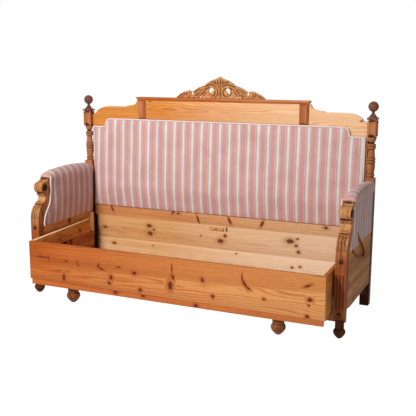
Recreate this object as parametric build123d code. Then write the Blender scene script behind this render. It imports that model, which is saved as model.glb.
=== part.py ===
"""Swedish pull-out bench bed: a high-backed pine bench whose front slides out to widen the bed box.

Working frame, in millimetres: X = 0 in the middle of the bench, Y = 0 at the front of the arm stiles with +Y
towards the wall, Z = 0 on the floor. Each piece is moved at the end so that the origin lies under the middle
of the whole bench. "Left" is the side at -X. The front is drawn out by rest_pull, as it is stored here.
"""

import os
from math import atan2, degrees

from build123d import *

# ---------------------------------------------------------------- driving dimensions
overall_width = 1892.0  # over the outer faces of the two gables
gable_depth = 636.0  # from the front of the stiles to the back of the rear posts
rest_pull = 114.0  # how far the front is drawn out in the stored pose
pull_beyond_rest = 190.0  # how much further it can be drawn out
joint_gap = 0.3  # clearance between faces that slide on each other

# arm stiles and what they carry
stile_width = 56.0
stile_thickness = 50.0
stile_foot_z = 104.0  # underside of the stile, on top of its foot
stile_top_z = 688.0
belly_z = 470.0  # where the straight face ends and the belly curls back
scroll_radius = 31.0
scroll_y = 73.0
scroll_z = 632.0
eye_radius = 21.0
eye_rise = 5.0
knob_radius = 11.5
knob_rise = 9.0
knob_heights = (128.0, 401.0)
flute_radius = 5.0
flute_pitch = 16.0
flute_count = 3
flute_depth = 3.5
lower_flute_z = (152.0, 335.0)
upper_flute_z = 452.0

# feet
foot_radius = 31.0
foot_neck_radius = 23.0
foot_tip_radius = 12.0
foot_y = 24.0

# rear posts
post_side = 52.0
post_square_top_z = 735.0
post_turned_length = 225.0
post_block_height = 97.0
# The turned part of the post, as (radius, height above the square part): a ring, a barrel, two beads, a
# tapering column, two more beads, a narrow neck and a bowl under the square block.
post_turning = [
    (20.5, 10),
    (20.5, 23),
    (18.5, 25),
    (22.5, 65),
    (21.5, 80),
    (23.5, 84),
    (23.5, 94),
    (21.5, 97),
    (23.5, 100),
    (23.5, 111),
    (21.5, 115),
    (17.0, 158),
    (22.5, 163),
    (23.5, 170),
    (21.5, 176),
    (23.5, 182),
    (22.5, 188),
    (14.5, 191),
    (14.5, 200),
    (19.5, 203),
    (22.5, 213),
]
post_notch_height = 27.0
post_notch_depth = 7.0
post_edge = 5.0
dowel_radius = 9.0
dowel_length = 22.0
dowel_clearance = 0.05

# finials
finial_plate_side = 57.0
finial_plate_height = 11.0
finial_plate_edge = 3.0
finial_neck_radius = 8.0
finial_ball_radius = 28.6
finial_ball_rise = 71.0  # from the post's top to the middle of the ball

# gable boards and upholstered arms
board_thickness = 20.0
gable_panel_z = (137.0, 470.0)
arm_board_bottom_z = 300.0
arm_board_top_z = 700.0
arm_board_inset = 4.0  # behind the inner face of the stile
arm_rail_width = 22.0
arm_rail_height = 40.0
arm_hem_z = 402.0
arm_pad_inner_rise = 16.0
arm_crown_z = 733.0
arm_crown_back = 204.0  # from the rear post to where the arm is highest
arm_rear_z = 719.0
arm_roll_radius = 28.0
arm_roll_drop = 44.0  # from the crown to where the roll turns down
arm_roll_overhang = 12.0  # beyond the outer face of the stile
arm_nose_y = 114.0
cover_hem_z = 434.0
cover_top_z = 656.0
cover_thickness = 2.0

# back
back_board_thickness = 20.0
back_rail_z = (374.0, 475.0)
bed_board_seam_z = 226.0
bed_board_bottom_z = 76.0
bed_board_end_gap = 22.0
back_plank_count = 3
top_board_drop = 20.0  # from the underside of the posts' blocks to the board's lower edge
top_board_rise = 128.0  # from there up to its flat top
top_board_step_inset = 252.0  # from the post to the small step in its top edge
top_board_step = 5.0
shoulder_rise = 70.0  # from the underside of the posts' blocks to where the shoulder meets the post
back_cleat_width = 60.0
back_cleat_thickness = 14.0
back_cleat_inset = 334.0
end_cleat_inset = 14.0

frieze_block_inset = 367.0  # from the post to the middle of the block
frieze_block_width = 56.0
frieze_block_rise = 12.0
frieze_field_width = 24.0
frieze_panel_thickness = 5.0
frieze_rise = 43.0  # from the board's flat top up to the cornice
cornice_overhang = 7.0
cornice_height = 21.0
cornice_depth = 40.0
cornice_fillet = 7.0
crest_height = 130.0
crest_half = 288.0
crest_thickness = 20.0

back_pad_end_gap = 7.0  # between the padding and the rear posts
back_pad_bottom_z = 439.0
back_pad_top_drop = 74.0  # from the board's flat top down to the padding
back_pad_shoulder = 52.0
back_pad_thickness = 32.0
back_pad_edge = 10.0
# How thick the padding is, as (height above its lower edge, thickness).
back_pad_fullness = [(0, 17), (20, 24), (70, 29), (150, 31), (261, 28), (361, 21), (461, 14), (562, 12)]
pad_corner_radius = 40.0
pad_cove_radius = 15.0
pad_corner_inset = 130.0

# the sliding front
drawer_end_gap = 13.0  # between the ends of the front and the stiles
drawer_front_thickness = 24.0
drawer_front_z = (127.0, 349.0)
moulding_inset = 8.0
moulding_bottom_z = 94.0
moulding_set_back = 3.0
drawer_side_thickness = 20.0
drawer_side_rear_height = 89.0
drawer_side_foot_y = 170.0  # how far back the sides are as deep as the front
drawer_side_rise = 17.0  # their top edge climbs by this much to the rear
drawer_rear_gap = 12.0  # left behind its sides when it is pushed right in
bottom_rail_inset = 27.0
bottom_rail_width = 70.0
drawer_foot_inset = 255.0
drawer_foot_set_back = 60.0
drawer_foot_radius = 39.0
drawer_foot_neck_radius = 31.0
stop_size = (40.0, 30.0, 20.0)

# runners, guides and bed slats
runner_start_y = 290.0
runner_height = 100.0
runner_guide_gap = 5.0  # between the runner and the guide batten behind it
guide_back_gap = 46.0
guide_width = 29.0
guide_thickness = 16.0
guide_z = (232.0, 396.0)
slat_top_z = 136.0
slat_thickness = 18.0
slat_gap = 5.0
slat_end_gap = 2.0
fixed_slat_count = 13
stretcher_y = 120.0
stretcher_thickness = 26.0
stretcher_height = 70.0
ledger_depth = 20.0
ledger_height = 30.0

# turn button and leather strap
button_length = 95.0
button_height = 20.0
button_thickness = 10.0
button_x = -12.0
button_z = 357.0
screw_radius = 2.5
screw_head_radius = 5.0
screw_head_height = 2.5
strap_width = 12.0
strap_thickness = 3.0
# The strap hangs in a loop on the right gable. Its middle line, as (Y, Z), from its upper end:
strap_line = [(231, 504), (265, 452), (333, 399), (357, 370), (336, 353), (235, 379), (114, 434)]
tack_radius = 3.5
tack_rise = 1.5

# ---------------------------------------------------------------- derived places
half = overall_width / 2
stile_inner = half - stile_width
stile_mid = half - stile_width / 2
post_mid = half - post_side / 2
post_inner = half - post_side
post_y = gable_depth - post_side / 2
post_front = gable_depth - post_side
back_front = gable_depth - back_board_thickness
post_block_low = post_square_top_z + post_turned_length
post_block_high = post_block_low + post_block_height
drawer_front_half = stile_inner - drawer_end_gap
drawer_face = -rest_pull
drawer_back = drawer_face + drawer_front_thickness
drawer_side_end_y = back_front - rest_pull - drawer_rear_gap
slat_bottom = slat_top_z - slat_thickness
slat_count = 2 * fixed_slat_count + 1
slat_row = 2 * (drawer_front_half - slat_end_gap)
slat_width = (slat_row - (slat_count - 1) * slat_gap) / slat_count
rear_most = gable_depth + back_cleat_thickness
middle_y = (drawer_face + rear_most) / 2

seated = (Align.CENTER, Align.CENTER, Align.MIN)

os.makedirs("parts", exist_ok=True)


# ---------------------------------------------------------------- small makers
def block(x0, x1, y0, y1, z0, z1):
    """A board or block between two corners."""
    middle = ((x0 + x1) / 2, (y0 + y1) / 2, (z0 + z1) / 2)
    return Pos(*middle) * Box(abs(x1 - x0), abs(y1 - y0), abs(z1 - z0))


def side_solid(outline, x0, x1):
    """A piece with a shaped side: a closed outline in Y and Z, carried across from x0 to x1."""
    return extrude(Plane.YZ.offset(x0) * make_face(outline.edges()), amount=x1 - x0)


def front_solid(outline, y0, y1):
    """A board with a shaped front: a closed outline in X and Z, from its front y0 to its back y1."""
    return extrude(Plane.XZ.offset(-y0) * make_face(outline.edges()), amount=y0 - y1)


def turned(profile):
    """A turned piece about the upright axis. The profile lists (radius, height) from the bottom up."""
    points = [(0, profile[0][1]), *profile, (0, profile[-1][1])]
    return revolve(make_face(Plane.XZ * Polyline(*points, close=True)), Axis.Z)


def mirrored(shape):
    """The same piece on the other side of the bench."""
    return mirror(shape, about=Plane.YZ)


def save(name, *solids):
    """Writes one node, moved so that the origin lies under the middle of the bench."""
    pieces = [Pos(0, -middle_y, 0) * solid for solid in solids]
    shape = pieces[0] if len(pieces) == 1 else Compound(children=pieces)
    export_step(shape, f"parts/{name}.step")


def save_pair(name, *solids):
    """Writes a right-hand piece and its mirror image on the left."""
    save(f"right_{name}", *solids)
    save(f"left_{name}", *[mirrored(solid) for solid in solids])


# ---------------------------------------------------------------- arm stiles
# Points of the stile's side outline, as (Y, Z), from the belly up to the top and down the back.
belly_curve = [(0, belly_z), (9, 497), (25, 519), (43, 530)]
neck_curve = [(56, 541), (74, 553), (81, 568), (77, 582), (70, 589)]
top_curve = [(scroll_y + 8, scroll_z + 29), (92, 668), (105, 675), (114, stile_top_z)]
stile_back_curve = [
    (122, stile_top_z),
    (122, 655),
    (126, 621),
    (124, 602),
    (117, 575),
    (112, 544),
    (98, 516),
    (80, 493),
    (60, 462),
    (stile_thickness, 430),
]
bead_radius = 6.0
bead_places = [(50, 536), (69, 592)]
bracket_depth = 22.0
bracket_curve = [(3, stile_foot_z), (8, 117), (22, 132), (stile_thickness, 143)]
panel_hump = [bracket_curve[-1], (72, 144), (95, 141), (125, gable_panel_z[0])]


def stile_outline():
    """The closed side outline of a stile, without its beads and scroll."""
    front = Polyline((stile_thickness, stile_foot_z), (0, stile_foot_z), (0, belly_z))
    belly = Spline(*belly_curve)
    step = Line(belly_curve[-1], neck_curve[0])
    neck = Spline(*neck_curve)
    top = Polyline(neck_curve[-1], (scroll_y, scroll_z), *top_curve, stile_back_curve[0])
    back = Spline(*stile_back_curve)
    shank = Line(stile_back_curve[-1], (stile_thickness, stile_foot_z))
    return front + belly + step + neck + top + back + shank


def bracket_cutter():
    """What is cut from the outer back corner of a stile's foot, so that it curves up to the side panel."""
    last = bracket_curve[-1]
    rest = Polyline(last, (last[0] + 1, last[1]), (last[0] + 1, stile_foot_z), bracket_curve[0])
    return side_solid(Spline(*bracket_curve) + rest, half - bracket_depth, half + 1)


def flute(x):
    """The two grooves of one flute: straight over the foot, and following the belly above the plain band."""
    groove_y = flute_depth - flute_radius
    length = lower_flute_z[1] - lower_flute_z[0]
    lower = Pos(x, groove_y, sum(lower_flute_z) / 2) * Cylinder(flute_radius, length)
    bend = [(x, y + groove_y, z) for y, z in belly_curve[:-1]]
    path = Line((x, groove_y, upper_flute_z), bend[0]) + Spline(*bend, tangents=((0, 0, 1), (0, 1, 1)))
    upper = sweep(Plane(path @ 0) * Circle(flute_radius), path=path)
    return [lower, upper]


def stile():
    """The right-hand stile, with its scroll, beads, flutes and the bracket cut at its foot."""
    body = side_solid(stile_outline(), stile_inner, half)
    across = Rot(0, 90, 0)
    scroll = Pos(stile_mid, scroll_y, scroll_z) * across * Cylinder(scroll_radius, stile_width)
    beads = [Pos(stile_mid, y, z) * across * Cylinder(bead_radius, stile_width) for y, z in bead_places]
    first = stile_mid - flute_pitch * (flute_count - 1) / 2
    flutes = [groove for n in range(flute_count) for groove in flute(first + n * flute_pitch)]
    return (body + scroll + beads) - flutes - bracket_cutter()


save_pair("front_stile", stile())


def scroll_eye(side):
    """A turned button in the middle of the scroll, on its inner (-1) or outer (+1) face."""
    face_x = stile_mid + side * stile_width / 2
    button = Cylinder(eye_radius, eye_rise, align=(Align.CENTER, Align.CENTER, Align.MIN))
    button = fillet(button.edges().group_by(Axis.Z)[-1], eye_rise * 0.8)
    return Pos(face_x, scroll_y, scroll_z) * Rot(0, side * 90, 0) * button


save_pair("scroll_eyes", scroll_eye(-1), scroll_eye(1))


def knob(x, z):
    """A domed wooden cover over a bolt in the front of a stile."""
    ball_radius = (knob_radius**2 + knob_rise**2) / (2 * knob_rise)
    ball = Pos(x, ball_radius - knob_rise, z) * Sphere(ball_radius)
    return ball & (Pos(x, -knob_rise / 2, z) * Box(stile_width, knob_rise, stile_width))


save("stile_knobs", *[knob(side * stile_mid, z) for side in (-1, 1) for z in knob_heights])


# ---------------------------------------------------------------- feet
def bun_foot(x, y, top, ball_radius, neck_radius, tip_radius):
    """A turned foot: a narrow tip on the floor, a full bun and a short straight neck under the frame."""
    widest = ball_radius * 1.05
    neck_z = ball_radius * 1.6
    profile = (
        Line((0, 0), (tip_radius, 0))
        + Spline(
            (tip_radius, 0),
            (ball_radius, widest),
            (neck_radius, neck_z),
            tangents=((1, 0.7), (-1, 0.5)),
        )
        + Polyline((neck_radius, neck_z), (neck_radius, top), (0, top), (0, 0))
    )
    return Pos(x, y, 0) * revolve(Plane.XZ * make_face(profile.edges()), Axis.Z)


save_pair(
    "front_foot",
    bun_foot(stile_mid, foot_y, stile_foot_z, foot_radius, foot_neck_radius, foot_tip_radius),
)


# ---------------------------------------------------------------- rear posts and finials
def post_notch(quarter, end):
    """A sunk triangle at one end of a face of the post's square block. end is 0 below and 1 above."""
    side = post_notch_height * 2**0.5
    diamond = Rot(0, 45, 0) * Box(side, post_side, side)
    inwards = -1 if end else 1
    edge_z = post_block_high if end else post_block_low
    tip = Pos(0, -post_side / 2, edge_z + inwards * post_notch_height)
    tilt = Rot(inwards * degrees(atan2(post_notch_depth, post_notch_height)), 0, 0)
    cutter = tip * tilt * Pos(0, -post_side / 2, -inwards * post_notch_height) * diamond
    return Rot(0, 0, 90 * quarter) * cutter


def rear_post():
    """The right-hand post: square up to the arm, turned above it, and a square block under the finial."""
    turning = turned([(post_side / 2, 0), *post_turning, (post_side / 2 - 1, post_turned_length)])
    turning = Pos(0, 0, post_square_top_z) * turning
    lower = Box(post_side, post_side, post_square_top_z, align=seated)
    lower = chamfer(lower.edges().group_by(Axis.Z)[0], post_edge)
    upper = Pos(0, 0, post_block_low) * Box(post_side, post_side, post_block_height, align=seated)
    upper = chamfer(upper.edges().group_by(Axis.Z)[0], post_edge)
    upper -= [post_notch(quarter, end) for quarter in range(4) for end in (0, 1)]
    socket_z = post_block_high - dowel_length / 2
    socket = Pos(0, 0, socket_z) * Cylinder(dowel_radius + dowel_clearance, dowel_length)
    return Pos(post_mid, post_y, 0) * (turning + lower + upper - socket)


save_pair("rear_post", rear_post())


def finial():
    """A turned ball on a bell-shaped neck and a square plate, with a dowel into the post."""
    top = post_block_high
    bell_z = top + finial_plate_height
    bell_radius = finial_plate_side / 2 - finial_plate_edge
    plate = Box(finial_plate_side, finial_plate_side, finial_plate_height, align=seated)
    plate = Pos(0, 0, top) * chamfer(plate.edges().group_by(Axis.Z)[-1], finial_plate_edge)
    ball_z = top + finial_ball_rise
    under_ball = ball_z - (finial_ball_radius**2 - finial_neck_radius**2) ** 0.5
    waist = (finial_neck_radius + 6, bell_z + 13)
    outline = (
        Line((0, bell_z), (bell_radius, bell_z))
        + Spline((bell_radius, bell_z), waist, (finial_neck_radius, under_ball))
        + Polyline((finial_neck_radius, under_ball), (0, under_ball), (0, bell_z))
    )
    bell = revolve(Plane.XZ * make_face(outline.edges()), Axis.Z)
    ball = Pos(0, 0, ball_z) * Sphere(finial_ball_radius)
    length = dowel_length - 1
    dowel = Pos(0, 0, top - length / 2) * Cylinder(dowel_radius, length)
    return Pos(post_mid, post_y, 0) * (plate + bell + ball + dowel)


save_pair("finial", finial())

# ---------------------------------------------------------------- gable boards
arm_board_inner = stile_inner + arm_board_inset
arm_board_outer = arm_board_inner + board_thickness
panel_outer = half - cover_thickness
panel_inner = panel_outer - board_thickness
rail_outer = arm_board_outer + arm_rail_width
stile_back_top = stile_back_curve[0]
gable_space_outline = Spline(*stile_back_curve) + Polyline(
    stile_back_curve[-1],
    (stile_thickness, 0),
    (post_front, 0),
    (post_front, overall_width),
    (stile_back_top[0], overall_width),
    stile_back_top,
)
# Everything between the back of the stile and the front of the post.
gable_space = side_solid(gable_space_outline, 0, overall_width)

panel_outline = Spline(*panel_hump) + Polyline(
    panel_hump[-1],
    (post_front, gable_panel_z[0]),
    (post_front, gable_panel_z[1]),
    (stile_thickness, gable_panel_z[1]),
    panel_hump[0],
)
save_pair("side_panel", side_solid(panel_outline, panel_inner, panel_outer) & gable_space)

arm_board = block(
    arm_board_inner, arm_board_outer, stile_thickness, post_front, arm_board_bottom_z, arm_board_top_z
)
save_pair("arm_board", arm_board & gable_space)

arm_rail_bottom = arm_board_top_z - arm_rail_height
arm_rail = block(arm_board_outer, rail_outer, stile_thickness, post_front, arm_rail_bottom, arm_board_top_z)
save_pair("arm_rail", arm_rail & gable_space)


def arm_section():
    """The padding across the arm, as (X, Z): up the inner face, over the roll and down to the outer cover."""
    inside = arm_board_inner - arm_pad_inner_rise
    outside = half + arm_roll_overhang
    shoulder_drop = arm_roll_radius * 0.6
    face = Spline(
        (arm_board_inner, arm_hem_z),
        (inside + 6, arm_hem_z + 40),
        (inside, arm_crown_z - arm_roll_drop),
        tangents=((-1, 0.4), (0, 1)),
    )
    roll = Spline(
        (inside, arm_crown_z - arm_roll_drop),
        (inside + arm_roll_radius * 0.4, arm_crown_z - arm_roll_radius * 0.4),
        (inside + arm_roll_radius, arm_crown_z - 2),
        (stile_mid, arm_crown_z),
        (outside - arm_roll_radius * 0.7, arm_crown_z - 2),
        (outside, arm_crown_z - shoulder_drop),
        (outside - 2, arm_crown_z - arm_roll_drop),
        tangents=((0, 1), (-0.3, -1)),
    )
    under = Polyline(
        (outside - 2, arm_crown_z - arm_roll_drop),
        (half, cover_top_z),
        (rail_outer, cover_top_z),
        (rail_outer, arm_board_top_z),
        (arm_board_inner, arm_board_top_z),
        (arm_board_inner, arm_hem_z),
    )
    return face + roll + under


def arm_profile():
    """The padding seen from the side, as (Y, Z): it starts on top of the stile and falls to the rear."""
    crown = Spline(
        (arm_nose_y, stile_top_z),
        (arm_nose_y + 6, arm_crown_z - 28),
        (arm_nose_y + 24, arm_crown_z - 19),
        (arm_nose_y + 90, arm_crown_z - 9),
        (post_front - arm_crown_back, arm_crown_z),
        (post_front, arm_rear_z),
    )
    rest = Polyline(
        (post_front, arm_rear_z),
        (post_front, arm_hem_z),
        (stile_thickness, arm_hem_z),
        stile_back_curve[-1],
    )
    nose = Line(stile_back_top, (arm_nose_y, stile_top_z))
    return crown + rest + Spline(*stile_back_curve) + nose


pad_bar = front_solid(arm_section(), 0, post_front)
pad_side = side_solid(arm_profile(), 0, overall_width)
save_pair("arm_pad", pad_bar & pad_side)

arm_cover = block(panel_outer, half, stile_thickness, post_front, cover_hem_z, cover_top_z)
save_pair("arm_cover", arm_cover & gable_space)

# ---------------------------------------------------------------- back boards
rail_low, rail_high = back_rail_z
save("lower_back_rail", block(-post_inner, post_inner, back_front, gable_depth, rail_low, rail_high))
bed_board_half = post_inner - bed_board_end_gap
for name, board_low, board_high in (
    ("upper_bed_board", bed_board_seam_z, rail_low),
    ("lower_bed_board", bed_board_bottom_z, bed_board_seam_z),
):
    save(name, block(-bed_board_half, bed_board_half, back_front, gable_depth, board_low, board_high))
top_low = post_block_low - top_board_drop
top_high = post_block_low + top_board_rise
plank_height = (top_low - rail_high) / back_plank_count
save(
    "back_planks",
    *[
        block(
            -post_inner,
            post_inner,
            back_front,
            gable_depth,
            rail_high + n * plank_height,
            rail_high + (n + 1) * plank_height,
        )
        for n in range(back_plank_count)
    ],
)
back_cleat_x = post_inner - back_cleat_inset
end_cleat_x = post_inner - end_cleat_inset
save(
    "back_cleats",
    *[
        block(
            x - back_cleat_width / 2,
            x + back_cleat_width / 2,
            gable_depth,
            rear_most,
            bed_board_bottom_z,
            top_low,
        )
        for x in (-end_cleat_x, -back_cleat_x, 0, back_cleat_x, end_cleat_x)
    ],
)

frieze_block_x = post_inner - frieze_block_inset
cornice_low = top_high + frieze_rise
cornice_high = cornice_low + cornice_height
cornice_mid = cornice_low + cornice_fillet


def top_board_half():
    """The right half of the top board's outline, as (X, Z), from its raised middle to the post."""
    step_z = top_high + top_board_step
    top_board_step_x = post_inner - top_board_step_inset
    shoulder_x = top_board_step_x + 118
    shoulder_z = post_block_low + shoulder_rise
    return (
        Line((0, cornice_low), (frieze_block_x + 38, cornice_low))
        + Spline(
            (frieze_block_x + 38, cornice_low),
            (frieze_block_x + 47, cornice_low - 20),
            (frieze_block_x + 68, cornice_low - 31),
            (top_board_step_x, step_z),
        )
        + Polyline((top_board_step_x, step_z), (top_board_step_x, top_high), (shoulder_x, top_high))
        + Spline(
            (shoulder_x, top_high),
            (shoulder_x + 45, top_high - 4),
            (shoulder_x + 88, top_high - 20),
            (post_inner - 22, shoulder_z + 15),
            (post_inner, shoulder_z),
            tangents=((1, 0), (0.5, -1)),
        )
        + Polyline((post_inner, shoulder_z), (post_inner, top_low), (0, top_low), (0, cornice_low))
    )


top_half = front_solid(top_board_half(), back_front, gable_depth)
save("top_board", top_half + mirrored(top_half))

back_pad_top_z = top_high - back_pad_top_drop
frieze_low = back_pad_top_z + joint_gap
panel_half = frieze_block_x - frieze_block_width / 2
save(
    "frieze_panel",
    block(-panel_half, panel_half, back_front - frieze_panel_thickness, back_front, frieze_low, cornice_low),
)


def frieze_block():
    """The right-hand faceted block: a flat field between bevels that meet at its corners."""
    height = cornice_low - frieze_low
    base = Rectangle(frieze_block_width, height)
    bevel = (frieze_block_width - frieze_field_width) / 2
    field = Pos(0, 0, frieze_block_rise - 3) * Rectangle(frieze_field_width, height - 2 * bevel)
    solid = Pos(0, 0, 3) * loft([base, field]) + extrude(base, 3)
    return Pos(frieze_block_x, back_front, frieze_low + height / 2) * Rot(90, 0, 0) * solid


save_pair("frieze_block", frieze_block())

cornice_back = gable_depth + 4
cornice_front = cornice_back - cornice_depth
cornice_half = frieze_block_x + frieze_block_width / 2 + cornice_overhang
cornice_top = block(-cornice_half, cornice_half, cornice_front, cornice_back, cornice_mid, cornice_high)
cornice_top = fillet(cornice_top.edges().filter_by(Axis.X).group_by(Axis.Y)[0].group_by(Axis.Z)[-1], 4)
under_half = cornice_half - cornice_fillet
under_front = cornice_front + cornice_fillet
cornice_under = block(-under_half, under_half, under_front, gable_depth, cornice_low, cornice_mid)
save("cornice", cornice_top + cornice_under)

# ---------------------------------------------------------------- carved crest
# Half of the crest's outline above the cornice, as (X, Z above the cornice), from the tip to the end.
crest_points = [(0, crest_height), (27, 116), (68, 100), (100, 78), (147, 61), (166, 44)]
crest_tail_points = [(166, 44), (206, 49), (242, 40), (crest_half, 6)]
# Its holes on one side, as (X, Z above the cornice, radius).
crest_holes = [(52, 62, 17), (48, 12, 6), (150, 26, 8)]


def crest():
    """The pierced crest board: two scroll-edged slopes that meet in a leaf, with see-through holes."""
    outline = (
        Spline(*crest_points, tangents=((1, -0.9), (1, -1.2)))
        + Spline(*crest_tail_points, tangents=((1, 0.6), (1, -0.3)))
        + Polyline(crest_tail_points[-1], (crest_half, 0), (0, 0), (0, crest_height))
    )
    crest_y = (cornice_front + cornice_back) / 2
    board = front_solid(outline, crest_y - crest_thickness / 2, crest_y + crest_thickness / 2)
    drill = Rot(90, 0, 0)
    board -= [Pos(x, crest_y, z) * drill * Cylinder(radius, crest_thickness) for x, z, radius in crest_holes]
    return Pos(0, 0, cornice_high) * (board + mirrored(board))


save("crest", crest())


# ---------------------------------------------------------------- upholstered back
def back_pad_outline(inset):
    """The right half of the pad's outline, as (X, Z), drawn inwards by inset."""
    low, high = back_pad_bottom_z + inset, back_pad_top_z - inset
    side = post_inner - back_pad_end_gap - inset
    shoulder = high - back_pad_shoulder
    top_x = side - pad_corner_inset
    corner_x = top_x + pad_corner_radius
    cove_z = shoulder + pad_cove_radius
    return (
        Line((0, high), (top_x, high))
        + RadiusArc((top_x, high), (corner_x, high - pad_corner_radius), pad_corner_radius)
        + Line((corner_x, high - pad_corner_radius), (corner_x, cove_z))
        + RadiusArc((corner_x, cove_z), (corner_x + pad_cove_radius, shoulder), -pad_cove_radius)
        + Line((corner_x + pad_cove_radius, shoulder), (side, shoulder))
        + Polyline((side, shoulder), (side, low), (0, low), (0, high))
    )


def back_pad_side():
    """The pad seen from the side, as (Y, Z): fullest at the small of the back and thin at the top."""
    points = [(back_front - thick, back_pad_bottom_z + height) for height, thick in back_pad_fullness]
    top = (points[-1][0], back_pad_top_z)
    rest = Polyline(points[-1], top, (back_front, back_pad_top_z), (back_front, points[0][1]), points[0])
    return Spline(*points) + rest


border_front = back_front - back_pad_edge
pad_border = front_solid(back_pad_outline(0), border_front, back_front)
pad_crown = front_solid(back_pad_outline(back_pad_edge), back_front - back_pad_thickness, border_front)
pad_crown &= side_solid(back_pad_side(), 0, post_inner)
pad_half = pad_border + pad_crown
save("back_pad", pad_half + mirrored(pad_half))

# ---------------------------------------------------------------- sliding front
front_low, front_high = drawer_front_z
front_board = block(-drawer_front_half, drawer_front_half, drawer_face, drawer_back, front_low, front_high)
save("drawer_front", front_board)
moulding_face = drawer_face + moulding_set_back
moulding_half = drawer_front_half - moulding_inset
moulding = block(-moulding_half, moulding_half, moulding_face, drawer_back, moulding_bottom_z, front_low)
moulding = fillet(moulding.edges().filter_by(Axis.X).group_by(Axis.Y)[0].group_by(Axis.Z)[-1], 6)
save("drawer_moulding", moulding)

sliding_slat_bottom = slat_bottom + joint_gap
sliding_slat_top = sliding_slat_bottom + slat_thickness
side_high = front_high + drawer_side_rise
side_low = side_high - drawer_side_rear_height
side_outline = Polyline(
    (drawer_back, sliding_slat_top),
    (drawer_side_foot_y, sliding_slat_top),
    (drawer_side_foot_y, side_low),
    (drawer_side_end_y, side_low),
    (drawer_side_end_y, side_high),
    (drawer_back, front_high),
    close=True,
)
side_inner = drawer_front_half - drawer_side_thickness
save_pair("drawer_side", side_solid(side_outline, side_inner, drawer_front_half))
bottom_rail_back = drawer_back + bottom_rail_width
bottom_rail_half = drawer_front_half - bottom_rail_inset
save(
    "drawer_bottom_rail",
    block(
        -bottom_rail_half,
        bottom_rail_half,
        drawer_back,
        bottom_rail_back,
        moulding_bottom_z,
        sliding_slat_bottom,
    ),
)
save_pair(
    "drawer_foot",
    bun_foot(
        drawer_front_half - drawer_foot_inset,
        drawer_face + drawer_foot_set_back,
        moulding_bottom_z,
        drawer_foot_radius,
        drawer_foot_neck_radius,
        foot_tip_radius,
    ),
)

# ---------------------------------------------------------------- bed slats and what carries them
slat_pitch = 2 * (slat_width + slat_gap)
fixed_slat_x = [(n - (fixed_slat_count - 1) / 2) * slat_pitch for n in range(fixed_slat_count)]
sliding_slat_x = [(n - fixed_slat_count / 2) * slat_pitch for n in range(fixed_slat_count + 1)]
slat_end_y = back_front - 2


def slat(x, y0, y1, z):
    """One bed slat that runs from front to back."""
    return block(x - slat_width / 2, x + slat_width / 2, y0, y1, z, z + slat_thickness)


save("fixed_slats", *[slat(x, stretcher_y, slat_end_y, slat_bottom) for x in fixed_slat_x])
save("drawer_slats", *[slat(x, drawer_back, drawer_side_end_y, sliding_slat_bottom) for x in sliding_slat_x])
save(
    "front_stretcher",
    block(
        -panel_inner,
        panel_inner,
        stretcher_y,
        stretcher_y + stretcher_thickness,
        slat_bottom - stretcher_height,
        slat_bottom,
    ),
)
save(
    "back_ledger",
    block(
        -bed_board_half,
        bed_board_half,
        back_front - ledger_depth,
        back_front,
        slat_bottom - ledger_height,
        slat_bottom,
    ),
)
stop_length, stop_depth, stop_height = stop_size
stop_front = stretcher_y + stretcher_thickness + pull_beyond_rest + joint_gap
save(
    "drawer_stops",
    *[
        block(
            x - stop_length / 2,
            x + stop_length / 2,
            stop_front,
            stop_front + stop_depth,
            sliding_slat_bottom - stop_height,
            sliding_slat_bottom,
        )
        for x in (sliding_slat_x[2], sliding_slat_x[-3])
    ],
)
guide_back = back_front - guide_back_gap
guide_front = guide_back - guide_width
runner_top = side_low - joint_gap
save_pair(
    "runner",
    block(
        side_inner,
        panel_inner,
        runner_start_y,
        guide_front - runner_guide_gap,
        runner_top - runner_height,
        runner_top,
    ),
)
guide = block(arm_board_inner - guide_thickness, arm_board_inner, guide_front, guide_back, *guide_z)
guide = fillet(guide.edges().filter_by(Axis.X).group_by(Axis.Z)[0], guide_width * 0.45)
save_pair("guide_batten", guide)

# ---------------------------------------------------------------- turn button
button_back = back_front - joint_gap
button_front = button_back - button_thickness
button = block(
    button_x - button_length / 2,
    button_x + button_length / 2,
    button_front,
    button_back,
    button_z - button_height / 2,
    button_z + button_height / 2,
)
button = fillet(button.edges().filter_by(Axis.Y), button_height * 0.3)
pivot = Pos(button_x, (button_front + back_front) / 2, button_z) * Rot(90, 0, 0)
pivot_hole = pivot * Cylinder(screw_radius + dowel_clearance, back_front - button_front + 2)
save("turn_button", button - pivot_hole)
screw_start = Pos(button_x, back_front, button_z) * Rot(90, 0, 0)
head_start = back_front - button_front + joint_gap
screw = screw_start * Cylinder(screw_radius, head_start, align=seated)
screw += screw_start * Pos(0, 0, head_start) * Cylinder(screw_head_radius, screw_head_height, align=seated)
save("button_screw", screw)


# ---------------------------------------------------------------- leather strap
def strap_disc(place, radius, thickness, rise):
    """A flat disc on the outer face of the gable, rise above it."""
    return Plane.YZ.offset(half + rise) * Pos(*place) * Cylinder(radius, thickness, align=seated)


strap_path = Spline(*[(half + strap_thickness / 2, y, z) for y, z in strap_line])
strap_start = Plane(strap_path @ 0, x_dir=(1, 0, 0), z_dir=strap_path % 0)
strap = sweep(strap_start * Rectangle(strap_thickness, strap_width), path=strap_path)
strap_ends = [strap_line[0], strap_line[-1]]
strap += [strap_disc(place, strap_width / 2, strap_thickness, 0) for place in strap_ends]
save("leather_strap", strap)
save("strap_tacks", *[strap_disc(place, tack_radius, tack_rise, strap_thickness) for place in strap_ends])
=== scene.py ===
from math import cos, pi, radians, sin

import bmesh
import bpy
from mathutils import Matrix, Vector
from mathutils.geometry import interpolate_bezier


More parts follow.
